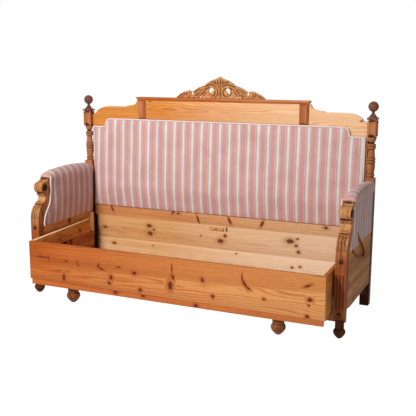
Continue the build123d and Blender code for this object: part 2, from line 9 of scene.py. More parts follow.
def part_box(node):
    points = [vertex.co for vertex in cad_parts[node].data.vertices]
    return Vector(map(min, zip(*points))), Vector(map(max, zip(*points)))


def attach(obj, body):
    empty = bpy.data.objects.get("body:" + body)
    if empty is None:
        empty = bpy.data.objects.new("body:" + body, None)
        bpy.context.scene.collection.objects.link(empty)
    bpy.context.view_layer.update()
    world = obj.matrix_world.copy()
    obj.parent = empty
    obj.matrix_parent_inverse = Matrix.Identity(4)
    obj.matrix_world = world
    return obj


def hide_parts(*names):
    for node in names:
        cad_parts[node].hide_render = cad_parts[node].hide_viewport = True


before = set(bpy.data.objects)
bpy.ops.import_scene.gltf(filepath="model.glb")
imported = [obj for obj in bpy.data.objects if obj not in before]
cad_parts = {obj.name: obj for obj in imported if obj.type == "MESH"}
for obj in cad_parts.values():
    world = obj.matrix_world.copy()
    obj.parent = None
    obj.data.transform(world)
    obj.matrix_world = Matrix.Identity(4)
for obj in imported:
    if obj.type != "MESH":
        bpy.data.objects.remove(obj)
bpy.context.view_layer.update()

# ---- The room
# A white floor under an even white surround. A round soft lamp hangs high in front of the bench's left
# end, and the eye is 1.3 m up, in front of its right end.
eye = bpy.data.cameras.new("eye")
eye.lens = 62.65
eye.sensor_width = 36
camera = bpy.data.objects.new("eye", eye)
bpy.context.collection.objects.link(camera)
eye_place = Matrix.Translation((1.7245, -3.668, 1.3357))
heading = Matrix.Rotation(radians(24.1), 4, "Z") @ Matrix.Rotation(radians(79), 4, "X")
camera.matrix_world = eye_place @ heading @ Matrix.Rotation(radians(0.2), 4, "Z")
bpy.context.scene.camera = camera
bpy.context.scene.view_settings.view_transform = "Standard"


def lead(feed, socket):
    """Feeds a node's input with another node's output or with a plain value."""
    if hasattr(feed, "is_output"):
        socket.id_data.links.new(feed, socket)
    elif feed is not None:
        socket.default_value = feed


def join(nodes, kind, *feeds, **settings):
    """Adds a shader node, sets it up, and feeds its first inputs."""
    node = nodes.new(kind)
    for setting, value in settings.items():
        setattr(node, setting, value)
    for feed, socket in zip(feeds, node.inputs):
        lead(feed, socket)
    return node


def maths(nodes, operation, *feeds):
    return join(nodes, "ShaderNodeMath", *feeds, operation=operation).outputs[0]


def seen_directly(nodes):
    """1 for rays that show the background itself, 0 for light that falls on the bench."""
    ray = join(nodes, "ShaderNodeLightPath").outputs
    either = maths(nodes, "MAXIMUM", ray["Is Camera Ray"], ray["Is Glossy Ray"])
    return maths(nodes, "MAXIMUM", either, ray["Is Transmission Ray"])


world = bpy.data.worlds.new("surround")
world.use_nodes = True
bpy.context.scene.world = world
air = world.node_tree.nodes
air.clear()
daylight = join(air, "ShaderNodeBackground", (1.0, 0.98, 0.96, 1), 0.3).outputs[0]
backdrop = join(air, "ShaderNodeBackground", (1, 1, 1, 1)).outputs[0]
surround = join(air, "ShaderNodeMixShader", seen_directly(air), daylight, backdrop).outputs[0]
join(air, "ShaderNodeOutputWorld", surround)

floor_paint = bpy.data.materials.new("floor_paint")
floor_paint.use_nodes = True
paint = floor_paint.node_tree.nodes
paint.clear()
matt = join(paint, "ShaderNodeBsdfDiffuse", (0.8, 0.8, 0.8, 1)).outputs[0]
plain_white = join(paint, "ShaderNodeEmission", (1, 1, 1, 1), 1.1).outputs[0]
share = maths(paint, "MULTIPLY", seen_directly(paint), 0.93)
both = join(paint, "ShaderNodeMixShader", share, matt, plain_white).outputs[0]
join(paint, "ShaderNodeOutputMaterial", both)

shape = bmesh.new()
bmesh.ops.create_grid(shape, x_segments=1, y_segments=1, size=15)
floor_mesh = bpy.data.meshes.new("floor")
shape.to_mesh(floor_mesh)
shape.free()
floor_mesh.materials.append(floor_paint)
floor = bpy.data.objects.new("floor", floor_mesh)
bpy.context.collection.objects.link(floor)

window = bpy.data.lights.new("window", "AREA")
window.shape = "DISK"
window.size = 0.9
window.energy = 150
window_stand = bpy.data.objects.new("window", window)
bpy.context.collection.objects.link(window_stand)
window_stand.location = (-0.95, -3.3, 2.7)
window_aim = Vector((0.1, 0, 0.5)) - window_stand.location
window_stand.rotation_euler = window_aim.to_track_quat("-Z", "Y").to_euler()

# ---- Rear posts
# Square pine legs up to the arm, turned above it on a lathe, with a notched block at the top. Stained
# brown and varnished, with painted shade in the grooves of the turning and in the notches, and the
# square leg painted much darker below the arm, for its dark stain and for the shade it stands in.
mm = 0.001


def tint(red, green, blue):
    """A colour as on a paint chart, 0 to 255, for a shader."""
    chart = [c / 255 for c in (red, green, blue)]
    return [c / 12.92 if c < 0.04045 else ((c + 0.055) / 1.055) ** 2.4 for c in chart] + [1]


def grey(value):
    return (value, value, value, 1)


def wire(node, feeds):
    """Feeds a node's named inputs."""
    for name, feed in feeds.items():
        lead(feed, node.inputs[name])
    return node


def vectors(nodes, operation, *feeds):
    node = join(nodes, "ShaderNodeVectorMath", *feeds, operation=operation)
    return node.outputs[1] if operation == "LENGTH" else node.outputs[0]


def noise(nodes, place, scale, detail, stretch=None):
    """The outputs of a noise over a place, which may be stretched first."""
    if stretch:
        place = vectors(nodes, "MULTIPLY", place, stretch)
    return join(nodes, "ShaderNodeTexNoise", place, None, scale, detail).outputs


def ramp(nodes, feed, stops, ease="LINEAR"):
    """A colour ramp over a value. Stops are (place, colour)."""
    node = join(nodes, "ShaderNodeValToRGB", feed)
    band = node.color_ramp
    band.interpolation = ease
    while len(band.elements) < len(stops):
        band.elements.new(1)
    for element, (place, colour) in zip(band.elements, stops):
        element.position = place
        element.color = colour
    return node.outputs[0]


def blend(nodes, way, factor, first, second):
    """Mixes two colours in the given way."""
    node = join(nodes, "ShaderNodeMix", data_type="RGBA", blend_type=way)
    for feed, place in ((factor, 0), (first, 6), (second, 7)):
        lead(feed, node.inputs[place])
    return node.outputs[2]


def bumps(nodes, height, strength, distance):
    """Small bumps for a shader's Normal."""
    bump = join(nodes, "ShaderNodeBump")
    return wire(bump, {"Strength": strength, "Distance": distance, "Height": height}).outputs[0]


def blank(name):
    """A new finish, with its nodes and its shader."""
    finish = bpy.data.materials.new(name)
    finish.use_nodes = True
    return finish, finish.node_tree.nodes, finish.node_tree.nodes["Principled BSDF"]


def nearest_spot(nodes, board, spots):
    """How far the nearest of some ovals is, where 1 is an oval's edge. Each is (along, across, length,
    height) in mm, and may have a fifth number, the degrees that it is turned by."""
    nearest = None
    for along, up, length, height, *turned in spots:
        off = vectors(nodes, "SUBTRACT", board, (along * mm, up * mm, 0))
        if turned:
            spin = join(nodes, "ShaderNodeVectorRotate", off, rotation_type="Z_AXIS")
            off = wire(spin, {"Angle": radians(-turned[0])}).outputs[0]
        scaled = vectors(nodes, "MULTIPLY", off, (2000 / length, 2000 / height, 0))
        reach = vectors(nodes, "LENGTH", scaled)
        nearest = reach if nearest is None else maths(nodes, "MINIMUM", nearest, reach)
    return nearest


def wood(
    name, lay, pale, deep, dark, ring, heart, knots=(), marks=(), lean=0.0, gloss=0.42, shine=0.08,
    hollow_shade=0.0, drift=None, bold=0.6, upper=None,
):
    """Pine with its grain along the first axis of its lay and its face across the second: growth rings
    about a heart that lies off the board, broad and narrow streaks, fine fibres, knots, dark marks (on
    some pieces painted shade), painted shade in the hollows, and a drift toward another colour along the
    grain (on the boards painted light, on the posts painted shade). Colours are as for tint, sizes in mm."""
    finish, nodes, shader = blank(name)
    pale, deep, dark = tint(*pale), tint(*deep), tint(*dark)
    run, through = lay
    across = ({"X", "Y", "Z"} - {run, through}).pop()
    parts = join(nodes, "ShaderNodeSeparateXYZ", join(nodes, "ShaderNodeTexCoord").outputs["Object"]).outputs
    board = join(nodes, "ShaderNodeCombineXYZ", parts[run], parts[across], parts[through]).outputs[0]
    level_across = maths(nodes, "SUBTRACT", parts[across], maths(nodes, "MULTIPLY", parts[run], lean))
    grain = join(nodes, "ShaderNodeCombineXYZ", parts[run], level_across, parts[through]).outputs[0]
    half = (0.5, 0.5, 0.5)
    wander = noise(nodes, grain, 1.0, 2.0, (1.3, 9, 9))["Color"]
    sway = vectors(nodes, "MULTIPLY", vectors(nodes, "SUBTRACT", wander, half), (0, 0.08, 0.08))
    fibre = noise(nodes, grain, 1.0, 3.0, (14, 420, 420))[0]
    broad = noise(nodes, grain, 1.0, 3.0, (0.8, 22, 22))[0]
    narrow = noise(nodes, grain, 1.0, 3.0, (2.4, 110, 110))[0]

    heart_place = (0, heart[0] * mm, heart[1] * mm)
    centred = vectors(nodes, "SUBTRACT", vectors(nodes, "ADD", grain, sway), heart_place)
    from_heart = vectors(nodes, "LENGTH", vectors(nodes, "MULTIPLY", centred, (0.02, 1, 1)))
    rings = maths(nodes, "DIVIDE", from_heart, ring * mm)
    if knots:
        jitter = noise(nodes, board, 70.0, 1.0)["Color"]
        shift = vectors(nodes, "MULTIPLY", vectors(nodes, "SUBTRACT", jitter, half), (0.007, 0.007, 0))
        nearest = nearest_spot(nodes, vectors(nodes, "ADD", board, shift), knots)
        pushed = join(
            nodes, "ShaderNodeMapRange", nearest, 0.8, 3.5, 1.3, 0.0, interpolation_type="SMOOTHERSTEP"
        )
        rings = maths(nodes, "ADD", rings, pushed.outputs[0])
    year = maths(nodes, "FRACT", maths(nodes, "ADD", rings, maths(nodes, "MULTIPLY", fibre, 0.3)))
    growth = ((0.0, 0.3), (0.1, 0), (0.5, 0.12), (0.9, 1), (1.0, 0.35))
    late = ramp(nodes, year, [(at, grey(value)) for at, value in growth])

    middle = [(a + b) / 2 for a, b in zip(deep, pale)]
    streak = maths(
        nodes, "ADD", maths(nodes, "MULTIPLY", broad, 0.55), maths(nodes, "MULTIPLY", narrow, 0.45)
    )
    body = ramp(nodes, streak, [(0.4, deep), (0.5, middle), (0.6, pale)])
    # Drift: blends toward a colour along the grain. On the boards it is painted light, paler toward the right
    # end; on the rear posts it is painted shade together with their dark stain.
    if drift:
        start, end, colour, amount = drift
        far = join(nodes, "ShaderNodeMapRange", parts[run], start * mm, end * mm, 0.0, amount)
        body = blend(nodes, "MIX", far.outputs[0], body, tint(*colour))
    if upper:
        joint, climb, colour, amount = upper
        over = maths(nodes, "SUBTRACT", parts[across], maths(nodes, "MULTIPLY", parts[run], climb))
        uneven = maths(nodes, "MULTIPLY", maths(nodes, "SUBTRACT", broad, 0.5), 0.05)
        over = maths(nodes, "ADD", over, uneven)
        above = join(nodes, "ShaderNodeMapRange", over, (joint - 2) * mm, (joint + 4) * mm, 0.0, amount)
        body = blend(nodes, "MULTIPLY", above.outputs[0], body, tint(*colour))
    body = blend(nodes, "MULTIPLY", maths(nodes, "MULTIPLY", late, bold), body, tint(205, 150, 104))
    threads = join(nodes, "ShaderNodeCombineColor", fibre, fibre, fibre).outputs[0]
    body = blend(nodes, "SOFT_LIGHT", 0.4, body, threads)
    if knots:
        near = maths(nodes, "DIVIDE", nearest, 4.0)
        halo = ramp(nodes, near, [(0.2, grey(0.7)), (0.75, grey(0))], "EASE")
        body = blend(nodes, "MIX", halo, body, [(a + b) / 2 for a, b in zip(deep, dark)])
        cores = ((0.0, (96, 44, 28)), (0.1, (72, 30, 24)), (0.19, (88, 38, 26)), (0.26, (110, 50, 26)))
        pith = [(at, [0.8 * a + 0.2 * b for a, b in zip(tint(*colour), dark)]) for at, colour in cores]
        rim = ramp(nodes, near, [(0.2, grey(0.95)), (0.3, grey(0))], "EASE")
        body = blend(nodes, "MIX", rim, body, ramp(nodes, near, pith))
    # Dark marks: on some boards real marks in the wood; on the posts and stiles they are painted shade in the
    # grooves, notches and hollows.
    if marks:
        mark_and_shade = maths(nodes, "DIVIDE", nearest_spot(nodes, board, marks), 4.0)
        mark_and_shade = ramp(nodes, mark_and_shade, [(0.14, grey(0.85)), (0.32, grey(0))])
        body = blend(nodes, "MIX", mark_and_shade, body, tint(44, 24, 18))
    # Painted shade: the hollows that the AO node finds are darkened toward a deep brown, as the shade in
    # them.
    if hollow_shade:
        crevice = join(nodes, "ShaderNodeAmbientOcclusion", samples=6, only_local=True)
        depth = wire(crevice, {"Distance": 0.014}).outputs["AO"]
        hollow_shading = ramp(nodes, depth, [(0.58, grey(1)), (0.96, grey(0))])
        body = blend(nodes, "MIX", maths(nodes, "MULTIPLY", hollow_shading, hollow_shade), body, tint(40, 20, 12))
    polish = join(nodes, "ShaderNodeMapRange", fibre, 0.2, 0.8, gloss - 0.06, gloss + 0.1).outputs[0]
    relief = maths(nodes, "ADD", maths(nodes, "MULTIPLY", late, 0.5), fibre)
    wire(shader, {"Base Color": body, "Roughness": polish, "Specular IOR Level": shine})
    wire(shader, {"Normal": bumps(nodes, relief, 0.14, 0.0006)})
    return finish


def axis_of(node):
    """The point on the floor under the middle of a plain node."""
    low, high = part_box(node)
    return Vector(((low.x + high.x) / 2, (low.y + high.y) / 2, 0))


def turn(shape, foot, profile):
    """Turns a profile of (radius, height) in mm about the upright axis through foot."""
    line = [shape.verts.new(Vector((foot.x + r * mm, foot.y, foot.z + h * mm))) for r, h in profile]
    edges = [shape.edges.new(pair) for pair in zip(line, line[1:])]
    bmesh.ops.spin(
        shape, geom=line + edges, cent=foot, axis=(0, 0, 1), angle=2 * pi, steps=40, use_merge=True
    )
    bmesh.ops.remove_doubles(shape, verts=shape.verts, dist=0.00002)


def eased(points, steps=6):
    """A smooth line through the points, which may have two or three numbers each."""
    knots = [Vector(p) for p in points]
    line = [knots[0]]
    for n in range(len(knots) - 1):
        before, after = knots[max(n - 1, 0)], knots[min(n + 2, len(knots) - 1)]
        start, end = knots[n], knots[n + 1]
        handles = (start + (end - before) / 6, end - (after - start) / 6)
        line += interpolate_bezier(start, *handles, end, steps + 1)[1:]
    return [tuple(p)[: len(points[0])] for p in line]


def ease_edges(shape, edges, by, segments=2):
    """Rounds edges by so many mm."""
    bmesh.ops.bevel(
        shape, geom=edges, offset=by * mm, offset_type="OFFSET", segments=segments, profile=0.5,
        affect="EDGES", material=-1,
    )


def squared(shape, low, high, edge, segments=2):
    """A sawn block between two corners with its edges eased."""
    made = bmesh.ops.create_cube(shape, size=1)["verts"]
    bmesh.ops.scale(shape, vec=[b - a for a, b in zip(low, high)], verts=made)
    bmesh.ops.translate(shape, vec=[(a + b) / 2 for a, b in zip(low, high)], verts=made)
    ease_edges(shape, list({e for v in made for e in v.link_edges}), edge, segments)


def as_item(shape):
    """Puts a worked shape in the scene for as long as a tool needs it there."""
    bmesh.ops.recalc_face_normals(shape, faces=shape.faces)
    mesh = bpy.data.meshes.new("rough")
    shape.to_mesh(mesh)
    shape.free()
    item = bpy.data.objects.new("rough", mesh)
    bpy.context.collection.objects.link(item)
    return item


def as_finished(item):
    """The mesh that an item's modifiers leave."""
    return bpy.data.meshes.new_from_object(item.evaluated_get(bpy.context.evaluated_depsgraph_get()))


def carve(solid, tool):
    """Cuts one worked shape out of another and gives back what is left."""
    items = [as_item(solid), as_item(tool)]
    cut = items[0].modifiers.new("cut", "BOOLEAN")
    cut.object = items[1]
    cut.solver = "EXACT"
    cut.use_self = True
    left = bmesh.new()
    left.from_mesh(as_finished(items[0]))
    for item in items:
        bpy.data.objects.remove(item)
    return left


def set_up(shape, name, finish, body, *nodes, sharp=35):
    """Makes the worked shape a piece of the bench that rides on a body and stands for its plain nodes."""
    bmesh.ops.recalc_face_normals(shape, faces=shape.faces)
    mesh = bpy.data.meshes.new(name)
    shape.to_mesh(mesh)
    shape.free()
    mesh.shade_smooth()
    mesh.set_sharp_from_angle(angle=radians(sharp))
    mesh.materials.clear()
    mesh.materials.append(finish)
    piece = bpy.data.objects.new(name, mesh)
    bpy.context.collection.objects.link(piece)
    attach(piece, body)
    if nodes:
        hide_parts(*nodes)
    return piece


# Painted shade: dark rings in the grooves of the turning, and dark patches in the notches of the block.
turning_groove_shade = ((759, 4), (816, 4), (832, 3), (848, 5), (894, 4), (911, 4), (930, 10))
notch_shadows = [(z, x, tall, 38) for z, tall in ((968, 18), (1050, 12)) for x in (920, -920)]
# The drift paints the square leg much darker below the arm: its dark stain and painted shade together.
post_stain = wood(
    "post_stain", "ZY", (198, 136, 90), (162, 100, 60), (84, 42, 20), ring=4, heart=(700, 12),
    hollow_shade=0.95, drift=(740, 600, (52, 24, 12), 0.95), bold=0.7, gloss=0.52, shine=0.05,
    marks=[(z, 0, tall, 4000) for z, tall in turning_groove_shade] + notch_shadows,
)
post_turning = (
    [(0, 733), (26, 733), (26, 735)]
    + eased([(22, 737), (19.5, 741), (19.5, 744)], 3)
    + eased([(20.5, 745), (22.3, 751.5), (20.5, 758)], 4)
    + eased([(18.6, 760), (20.5, 776), (22.6, 797), (21.6, 815)], 5)
    + eased([(20.6, 817), (23.6, 821), (23.9, 826), (21.2, 831)], 4)
    + eased([(20.8, 832.5), (23.8, 837), (23.8, 842), (21, 847)], 4)
    + eased([(20.6, 849), (19.6, 862), (17.6, 880), (17, 893)], 5)
    + eased([(18.5, 895), (22.6, 899), (23.6, 904), (21.2, 910)], 4)
    + eased([(21.2, 912), (23.6, 917), (22.6, 922), (17, 925)], 4)
    + eased([(14.6, 926), (14.3, 930), (14.6, 935)], 3)
    + eased([(18.8, 937), (20.2, 942), (22.6, 949), (24.6, 957), (25, 960)], 4)
    + [(25, 962), (0, 962)]
)
leg_top, block_low, block_high = 735, 960, 1057
block_half, notch_tall, notch_deep = 26, 27, 7.8
for side in ("left", "right"):
    low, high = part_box(side + "_rear_post")
    foot = axis_of(side + "_rear_post")
    block = bmesh.new()
    squared(block, (low.x, low.y, block_low * mm), (high.x, high.y, block_high * mm), 2)
    notches = bmesh.new()
    for quarter in range(4):
        around = Matrix.Rotation(quarter * pi / 2, 3, "Z")
        for end, ward in ((block_low, 1), (block_high, -1)):
            tip, past_end = end + ward * notch_tall, end - ward * 3
            corners = []
            for x, z, sunk in ((0, tip, 0), (-30, past_end, notch_deep), (30, past_end, notch_deep)):
                corners += [(x, sunk - block_half, z), (x, -block_half - 6, z)]
            made = [notches.verts.new(foot + around @ Vector(corner) * mm) for corner in corners]
            bmesh.ops.convex_hull(notches, input=made)
    block = carve(block, notches)
    block_mesh = bpy.data.meshes.new("block")
    block.to_mesh(block_mesh)
    block.free()
    shape = bmesh.new()
    squared(shape, (low.x, low.y, 0), (high.x, high.y, leg_top * mm), 2.5)
    turn(shape, foot, post_turning)
    shape.from_mesh(block_mesh)
    bpy.data.meshes.remove(block_mesh)
    set_up(shape, side + "_post", post_stain, "frame", side + "_rear_post")

# ---- Finials
# A turned ball on a bell, on a square plate, dowelled into the top of each post. Darker than the post.
finial_stain = wood(
    "finial_stain", "ZY", (140, 88, 66), (92, 54, 42), (58, 32, 26), ring=3, heart=(650, 5),
    gloss=0.36, shine=0.15, hollow_shade=0.7,
)
ball_radius, ball_middle, neck_top, plate_top = 28.6, 1128, 1100.6, 1068
ball = [
    (ball_radius * cos(a * pi / 24), ball_middle + ball_radius * sin(a * pi / 24)) for a in range(-11, 13)
]
bell = [(25.5, 1068), (24, 1072), (17.5, 1078), (13.8, 1084), (9.4, 1089), (8.2, 1096), (8.4, 1099.5)]
finial_turning = (
    [(0, 1067), (25.5, 1067)]
    + eased(bell, 4)
    + [(r, h) for r, h in ball if h > neck_top]
    + [(0, ball_middle + ball_radius)]
)
for side in ("left", "right"):
    low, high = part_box(side + "_finial")
    shape = bmesh.new()
    squared(shape, (low.x, low.y, block_high * mm), (high.x, high.y, plate_top * mm), 2.5)
    turn(shape, axis_of(side + "_finial"), finial_turning)
    set_up(shape, side + "_ball", finial_stain, "frame", side + "_finial")

# ---- Back boards
# Varnished rail under the padding, then two bare pine boards that close the bed box, all nailed between the
# posts. Behind the padding and on the rear everything is bare.
# These three boards are painted paler toward the right end: painted light.
rail_pine = wood(
    "rail_pine", "XY", (226, 164, 108), (204, 140, 86), (150, 84, 38), ring=8, heart=(330, 380),
    knots=[
        (-818, 461, 10, 34, 20), (-761, 420, 12, 44, 24), (-550, 455, 10, 30), (-311, 438, 14, 40, -30),
        (-278, 428, 22, 12), (-140, 402, 12, 52, 20), (73, 412, 14, 46, 28), (284, 412, 14, 40, -24),
        (677, 424, 26, 14), (500, 456, 12, 22),
    ],
    drift=(-300, 850, (236, 206, 164), 0.75), bold=0.45,
)
bare_pine = wood(
    "bare_pine", "XY", (222, 172, 116), (204, 148, 92), (170, 108, 62), ring=9, heart=(280, 395),
    knots=[
        (-820, 292, 32, 14), (-487, 329, 38, 24), (-453, 308, 16, 12), (-481, 280, 38, 28),
        (44, 314, 20, 18), (14, 279, 38, 26), (462, 323, 46, 26), (508, 341, 14, 12), (500, 299, 18, 14),
        (516, 262, 18, 16), (-120, 300, 10, 8),
    ],
    marks=[(54, 356, 15, 36)], bold=0.26, drift=(-400, 850, (246, 220, 188), 0.9), gloss=0.6, shine=0.12,
)
low_pine = wood(
    "low_pine", "XY", (236, 196, 146), (222, 174, 120), (190, 134, 84), ring=9, heart=(90, 395),
    knots=[
        (-753, 189, 34, 18), (479, 163, 18, 12), (528, 173, 18, 12), (-460, 200, 14, 10), (120, 210, 14, 8)
    ],
    drift=(-400, 850, (255, 236, 208), 0.95), bold=0.25, gloss=0.6, shine=0.12,
)
plain_pine = wood(
    "plain_pine", "XY", (214, 162, 110), (194, 136, 84), (164, 104, 58), ring=8, heart=(640, 420),
    gloss=0.6, shine=0.12,
)
plain_upright = wood(
    "plain_upright", "ZY", (206, 150, 98), (184, 124, 74), (150, 92, 50), ring=8, heart=(560, 420),
    gloss=0.6, shine=0.12,
)


def planed(name, finish, body, node, edge=1.5, segments=2):
    """A piece planed square to its plain node, its edges eased."""
    shape = bmesh.new()
    squared(shape, *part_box(node), edge, segments)
    set_up(shape, name, finish, body, node)


def refinish(finish, *nodes):
    """Gives plain nodes their finish."""
    for node in nodes:
        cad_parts[node].data.materials.clear()
        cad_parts[node].data.materials.append(finish)


planed("lower_back_rail_dressed", rail_pine, "frame", "lower_back_rail")
planed("upper_bed_board_dressed", bare_pine, "frame", "upper_bed_board")
planed("lower_bed_board_dressed", low_pine, "frame", "lower_bed_board")
refinish(plain_pine, "back_planks")
refinish(plain_upright, "back_cleats")

# ---- Top board
# A wide golden board between the posts with stepped and rounded shoulders, sawn in one piece.
# Painted paler toward the right end: painted light.
top_pine = wood(
    "top_pine", "XY", (218, 146, 72), (198, 122, 54), (160, 82, 30), ring=6, heart=(1000, 400),
    knots=[(856, 1046, 12, 8)], drift=(-400, 850, (250, 210, 168), 0.85), bold=0.5,
)


def pull(shape, face, by):
    """Pulls a face along by a vector and gives back the face at its end."""
    pulled = bmesh.ops.extrude_face_region(shape, geom=[face])["geom"]
    moved = [part for part in pulled if isinstance(part, bmesh.types.BMVert)]
    bmesh.ops.translate(shape, vec=by, verts=moved)
    return [part for part in pulled if isinstance(part, bmesh.types.BMFace)][0]


def sawn_board(shape, outline, front, back, edge=1.2):
    """A board sawn to an outline of (x, z) in mm, as thick as from front to back in metres."""
    face = shape.faces.new([shape.verts.new((x * mm, front, z * mm)) for x, z in outline])
    pull(shape, face, (0, back - front, 0))
    ease_edges(shape, [e for e in shape.edges if abs(e.verts[0].co.y - e.verts[1].co.y) < 1e-6], edge)


def mirrored(half):
    """A right-hand outline of (x, z), carried on round the left."""
    return half + [(-x, z) for x, z in reversed(half)]


low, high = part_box("top_board")
shoulder = (
    eased([(565, 1131), (574, 1111), (595, 1100), (642, 1093)], 6)
    + [(642, 1088)]
    + eased([(760, 1088), (805, 1084), (848, 1068), (872, 1045), (894, 1030)], 6)
    + [(894, 940)]
)
shape = bmesh.new()
sawn_board(shape, mirrored(shoulder), low.y, high.y)
set_up(shape, "top_board_dressed", top_pine, "frame", "top_board")

# ---- Frieze and cornice
# A flat golden panel between two dark faceted blocks, under a thin cornice with a rounded edge.
# Painted paler toward the right end: painted light.
frieze_pine = wood(
    "frieze_pine", "XY", (220, 148, 76), (198, 120, 54), (168, 92, 38), ring=6, heart=(1090, 395),
    marks=[(-470, 1126, 26, 7, -20)], drift=(-400, 520, (252, 212, 168), 0.85), bold=0.5, shine=0.04,
)
planed("frieze_panel_dressed", frieze_pine, "frame", "frieze_panel", 0.8)
block_stain = wood(
    "block_stain", "ZY", (206, 132, 90), (164, 94, 58), (96, 42, 22), ring=5, heart=(500, 395), hollow_shade=0.6
)
facet_base, facet_rim, facet_wide, facet_rise = 0.003, 0.0005, 0.016, 0.009
for side in ("left", "right"):
    low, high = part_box(side + "_frieze_block")
    middle = (low + high) / 2
    shape = bmesh.new()
    made = bmesh.ops.create_cube(shape, size=1)["verts"]
    bmesh.ops.scale(shape, vec=(high.x - low.x, facet_base, high.z - low.z), verts=made)
    bmesh.ops.translate(shape, vec=(middle.x, high.y - facet_base / 2, middle.z), verts=made)
    face = [f for f in shape.faces if f.normal.y < -0.5]
    bmesh.ops.inset_region(shape, faces=face, thickness=facet_rim, depth=0.0)
    bmesh.ops.inset_region(shape, faces=face, thickness=facet_wide, depth=facet_rise)
    set_up(shape, side + "_facet", block_stain, "frame", side + "_frieze_block", sharp=15)
# Painted paler toward the right end: painted light.
cornice_pine = wood(
    "cornice_pine", "XY", (206, 120, 60), (176, 92, 42), (132, 62, 28), ring=5, heart=(1100, 395),
    hollow_shade=0.5, drift=(-300, 560, (222, 156, 104), 0.6),
)
low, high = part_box("cornice")
lip, set_in = 0.014, 0.007
shape = bmesh.new()
squared(shape, (low.x, low.y, high.z - lip), high, 4, 3)
squared(
    shape, (low.x + set_in, low.y + set_in, low.z), (high.x - set_in, high.y - 0.004, high.z - lip + mm), 1
)
set_up(shape, "cornice_dressed", cornice_pine, "frame", "cornice")

# ---- Crest
# A board sawn and pierced, then carved by hand: two big scrolls about a stem and a fan of leaves, ribbed
# leaves on the shoulders, and a small scroll at each end. It stands on the cornice.
crest_wood = wood(
    "crest_wood", "XY", (228, 168, 112), (206, 138, 80), (134, 76, 38), ring=4, heart=(1100, 395),
    hollow_shade=0.8, shine=0.15,
)


def rods(lines, fineness):
    """A mesh of round rods along lines of (x, y, z, half width) in mm."""
    curve = bpy.data.curves.new("rods", "CURVE")
    curve.dimensions = "3D"
    curve.bevel_depth = mm
    curve.bevel_resolution = fineness
    curve.use_fill_caps = True
    for line in lines:
        run = curve.splines.new("POLY")
        run.points.add(len(line) - 1)
        for point, (x, y, z, width) in zip(run.points, line):
            point.co = (x * mm, y * mm, z * mm, 1)
            point.radius = width
    item = bpy.data.objects.new("rods", curve)
    bpy.context.collection.objects.link(item)
    mesh = as_finished(item)
    bpy.data.objects.remove(item)
    return mesh


def laid_ribs(shape, lines, front, squash, rise=0.0):
    """Adds rounded ribs on both halves along lines of (x, z, half width) in mm, front in metres."""
    for way in (-1, 1):
        mesh = rods([[(way * x, 0, rise + z, width) for x, z, width in line] for line in lines], 3)
        mesh.transform(Matrix.Translation((0, front, 0)) @ Matrix.Diagonal((1, squash, 1, 1)))
        shape.from_mesh(mesh)
        bpy.data.meshes.remove(mesh)


def scroll(middle, start, end, wide, narrow, fat, thin, steps):
    """A rib that curls in about a middle, from one angle to another in degrees."""
    line = []
    for n in range(steps + 1):
        share = n / steps
        angle = radians(start + (end - start) * share)
        reach = wide + (narrow - wide) * share**1.3
        x, z = middle[0] + reach * cos(angle), middle[1] + reach * sin(angle)
        line.append((x, z, fat + (thin - fat) * share))
    return line


low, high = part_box("crest")
rise = low.z * 1000
peak = [
    (0, 130), (9, 126), (27, 116), (47, 110), (68, 100), (84, 91), (100, 78), (124, 70), (147, 61), (160, 52)
]
crest_tail = [
    (168, 50), (174, 44), (179, 41), (186, 42), (197, 46), (213, 45), (230, 40), (252, 30), (270, 19),
    (288, 6),
]
outline = [(x, rise + z) for x, z in eased(peak, 4) + eased(crest_tail, 4) + [(288, 0)]]
slab_face, rib_face, eye_face = low.y + 0.0095, low.y + 0.0066, low.y + 0.007
slab = bmesh.new()
sawn_board(slab, outline + [(-x, z) for x, z in reversed(outline[1:])], slab_face, high.y, 1)
piercings = ((55, 46, 17, 17), (181, 29, 7, 8), (84, 5, 3, 4), (106, 6, 4, 5), (129, 6, 4, 5))
holes = bmesh.new()
for way in (-1, 1):
    for x, z, wide, tall in piercings:
        peg = bmesh.ops.create_cone(holes, cap_ends=True, segments=24, radius1=1, radius2=1, depth=2)
        made = peg["verts"]
        bmesh.ops.scale(holes, vec=(wide * mm, tall * mm, 0.03), verts=made)
        bmesh.ops.rotate(holes, matrix=Matrix.Rotation(pi / 2, 3, "X"), verts=made)
        hole_place = (way * x * mm, (low.y + high.y) / 2, (rise + z) * mm)
        bmesh.ops.translate(holes, vec=hole_place, verts=made)
slab = carve(slab, holes)
leaves = [
    [(0, 2, 7), (0, 16, 4.5), (0, 40, 5.5), (0, 66, 4)],
    [(0, 70, 3.4), (0, 94, 5.8), (0, 121, 4)],
    [(8, 74, 3), (15, 92, 5.4), (18, 110, 3.4)],
    [(13, 74, 3), (32, 86, 5.6), (52, 90, 6), (74, 84, 5.4), (94, 74, 3.6)],
    [(26, 96, 3), (40, 103, 5), (58, 101, 3.4)],
    [(40, 73, 3), (66, 72, 5.4), (86, 64, 6), (106, 56, 5.2), (124, 56, 3.4)],
    [(88, 50, 3), (104, 44, 5.6), (118, 32, 5.2), (126, 18, 3.2)],
    [(90, 36, 3), (100, 28, 5), (108, 16, 3.4)],
    [(132, 58, 3), (148, 52, 5.2), (162, 44, 5), (170, 34, 3.2)],
    [(122, 46, 3), (138, 40, 5.4), (152, 28, 5.4), (160, 12, 3.4)],
    [(136, 22, 3), (142, 12, 4.6), (146, 4, 3.4)],
    [(20, 20, 3), (34, 6, 4.4), (48, 2, 3.2)],
    [(166, 8, 3), (178, 6, 4.6), (192, 3, 3.4)],
    [(222, 40, 3), (238, 32, 5.2), (258, 22, 5), (280, 6, 3)],
    [(230, 22, 3), (244, 16, 4.8), (260, 5, 3)],
]
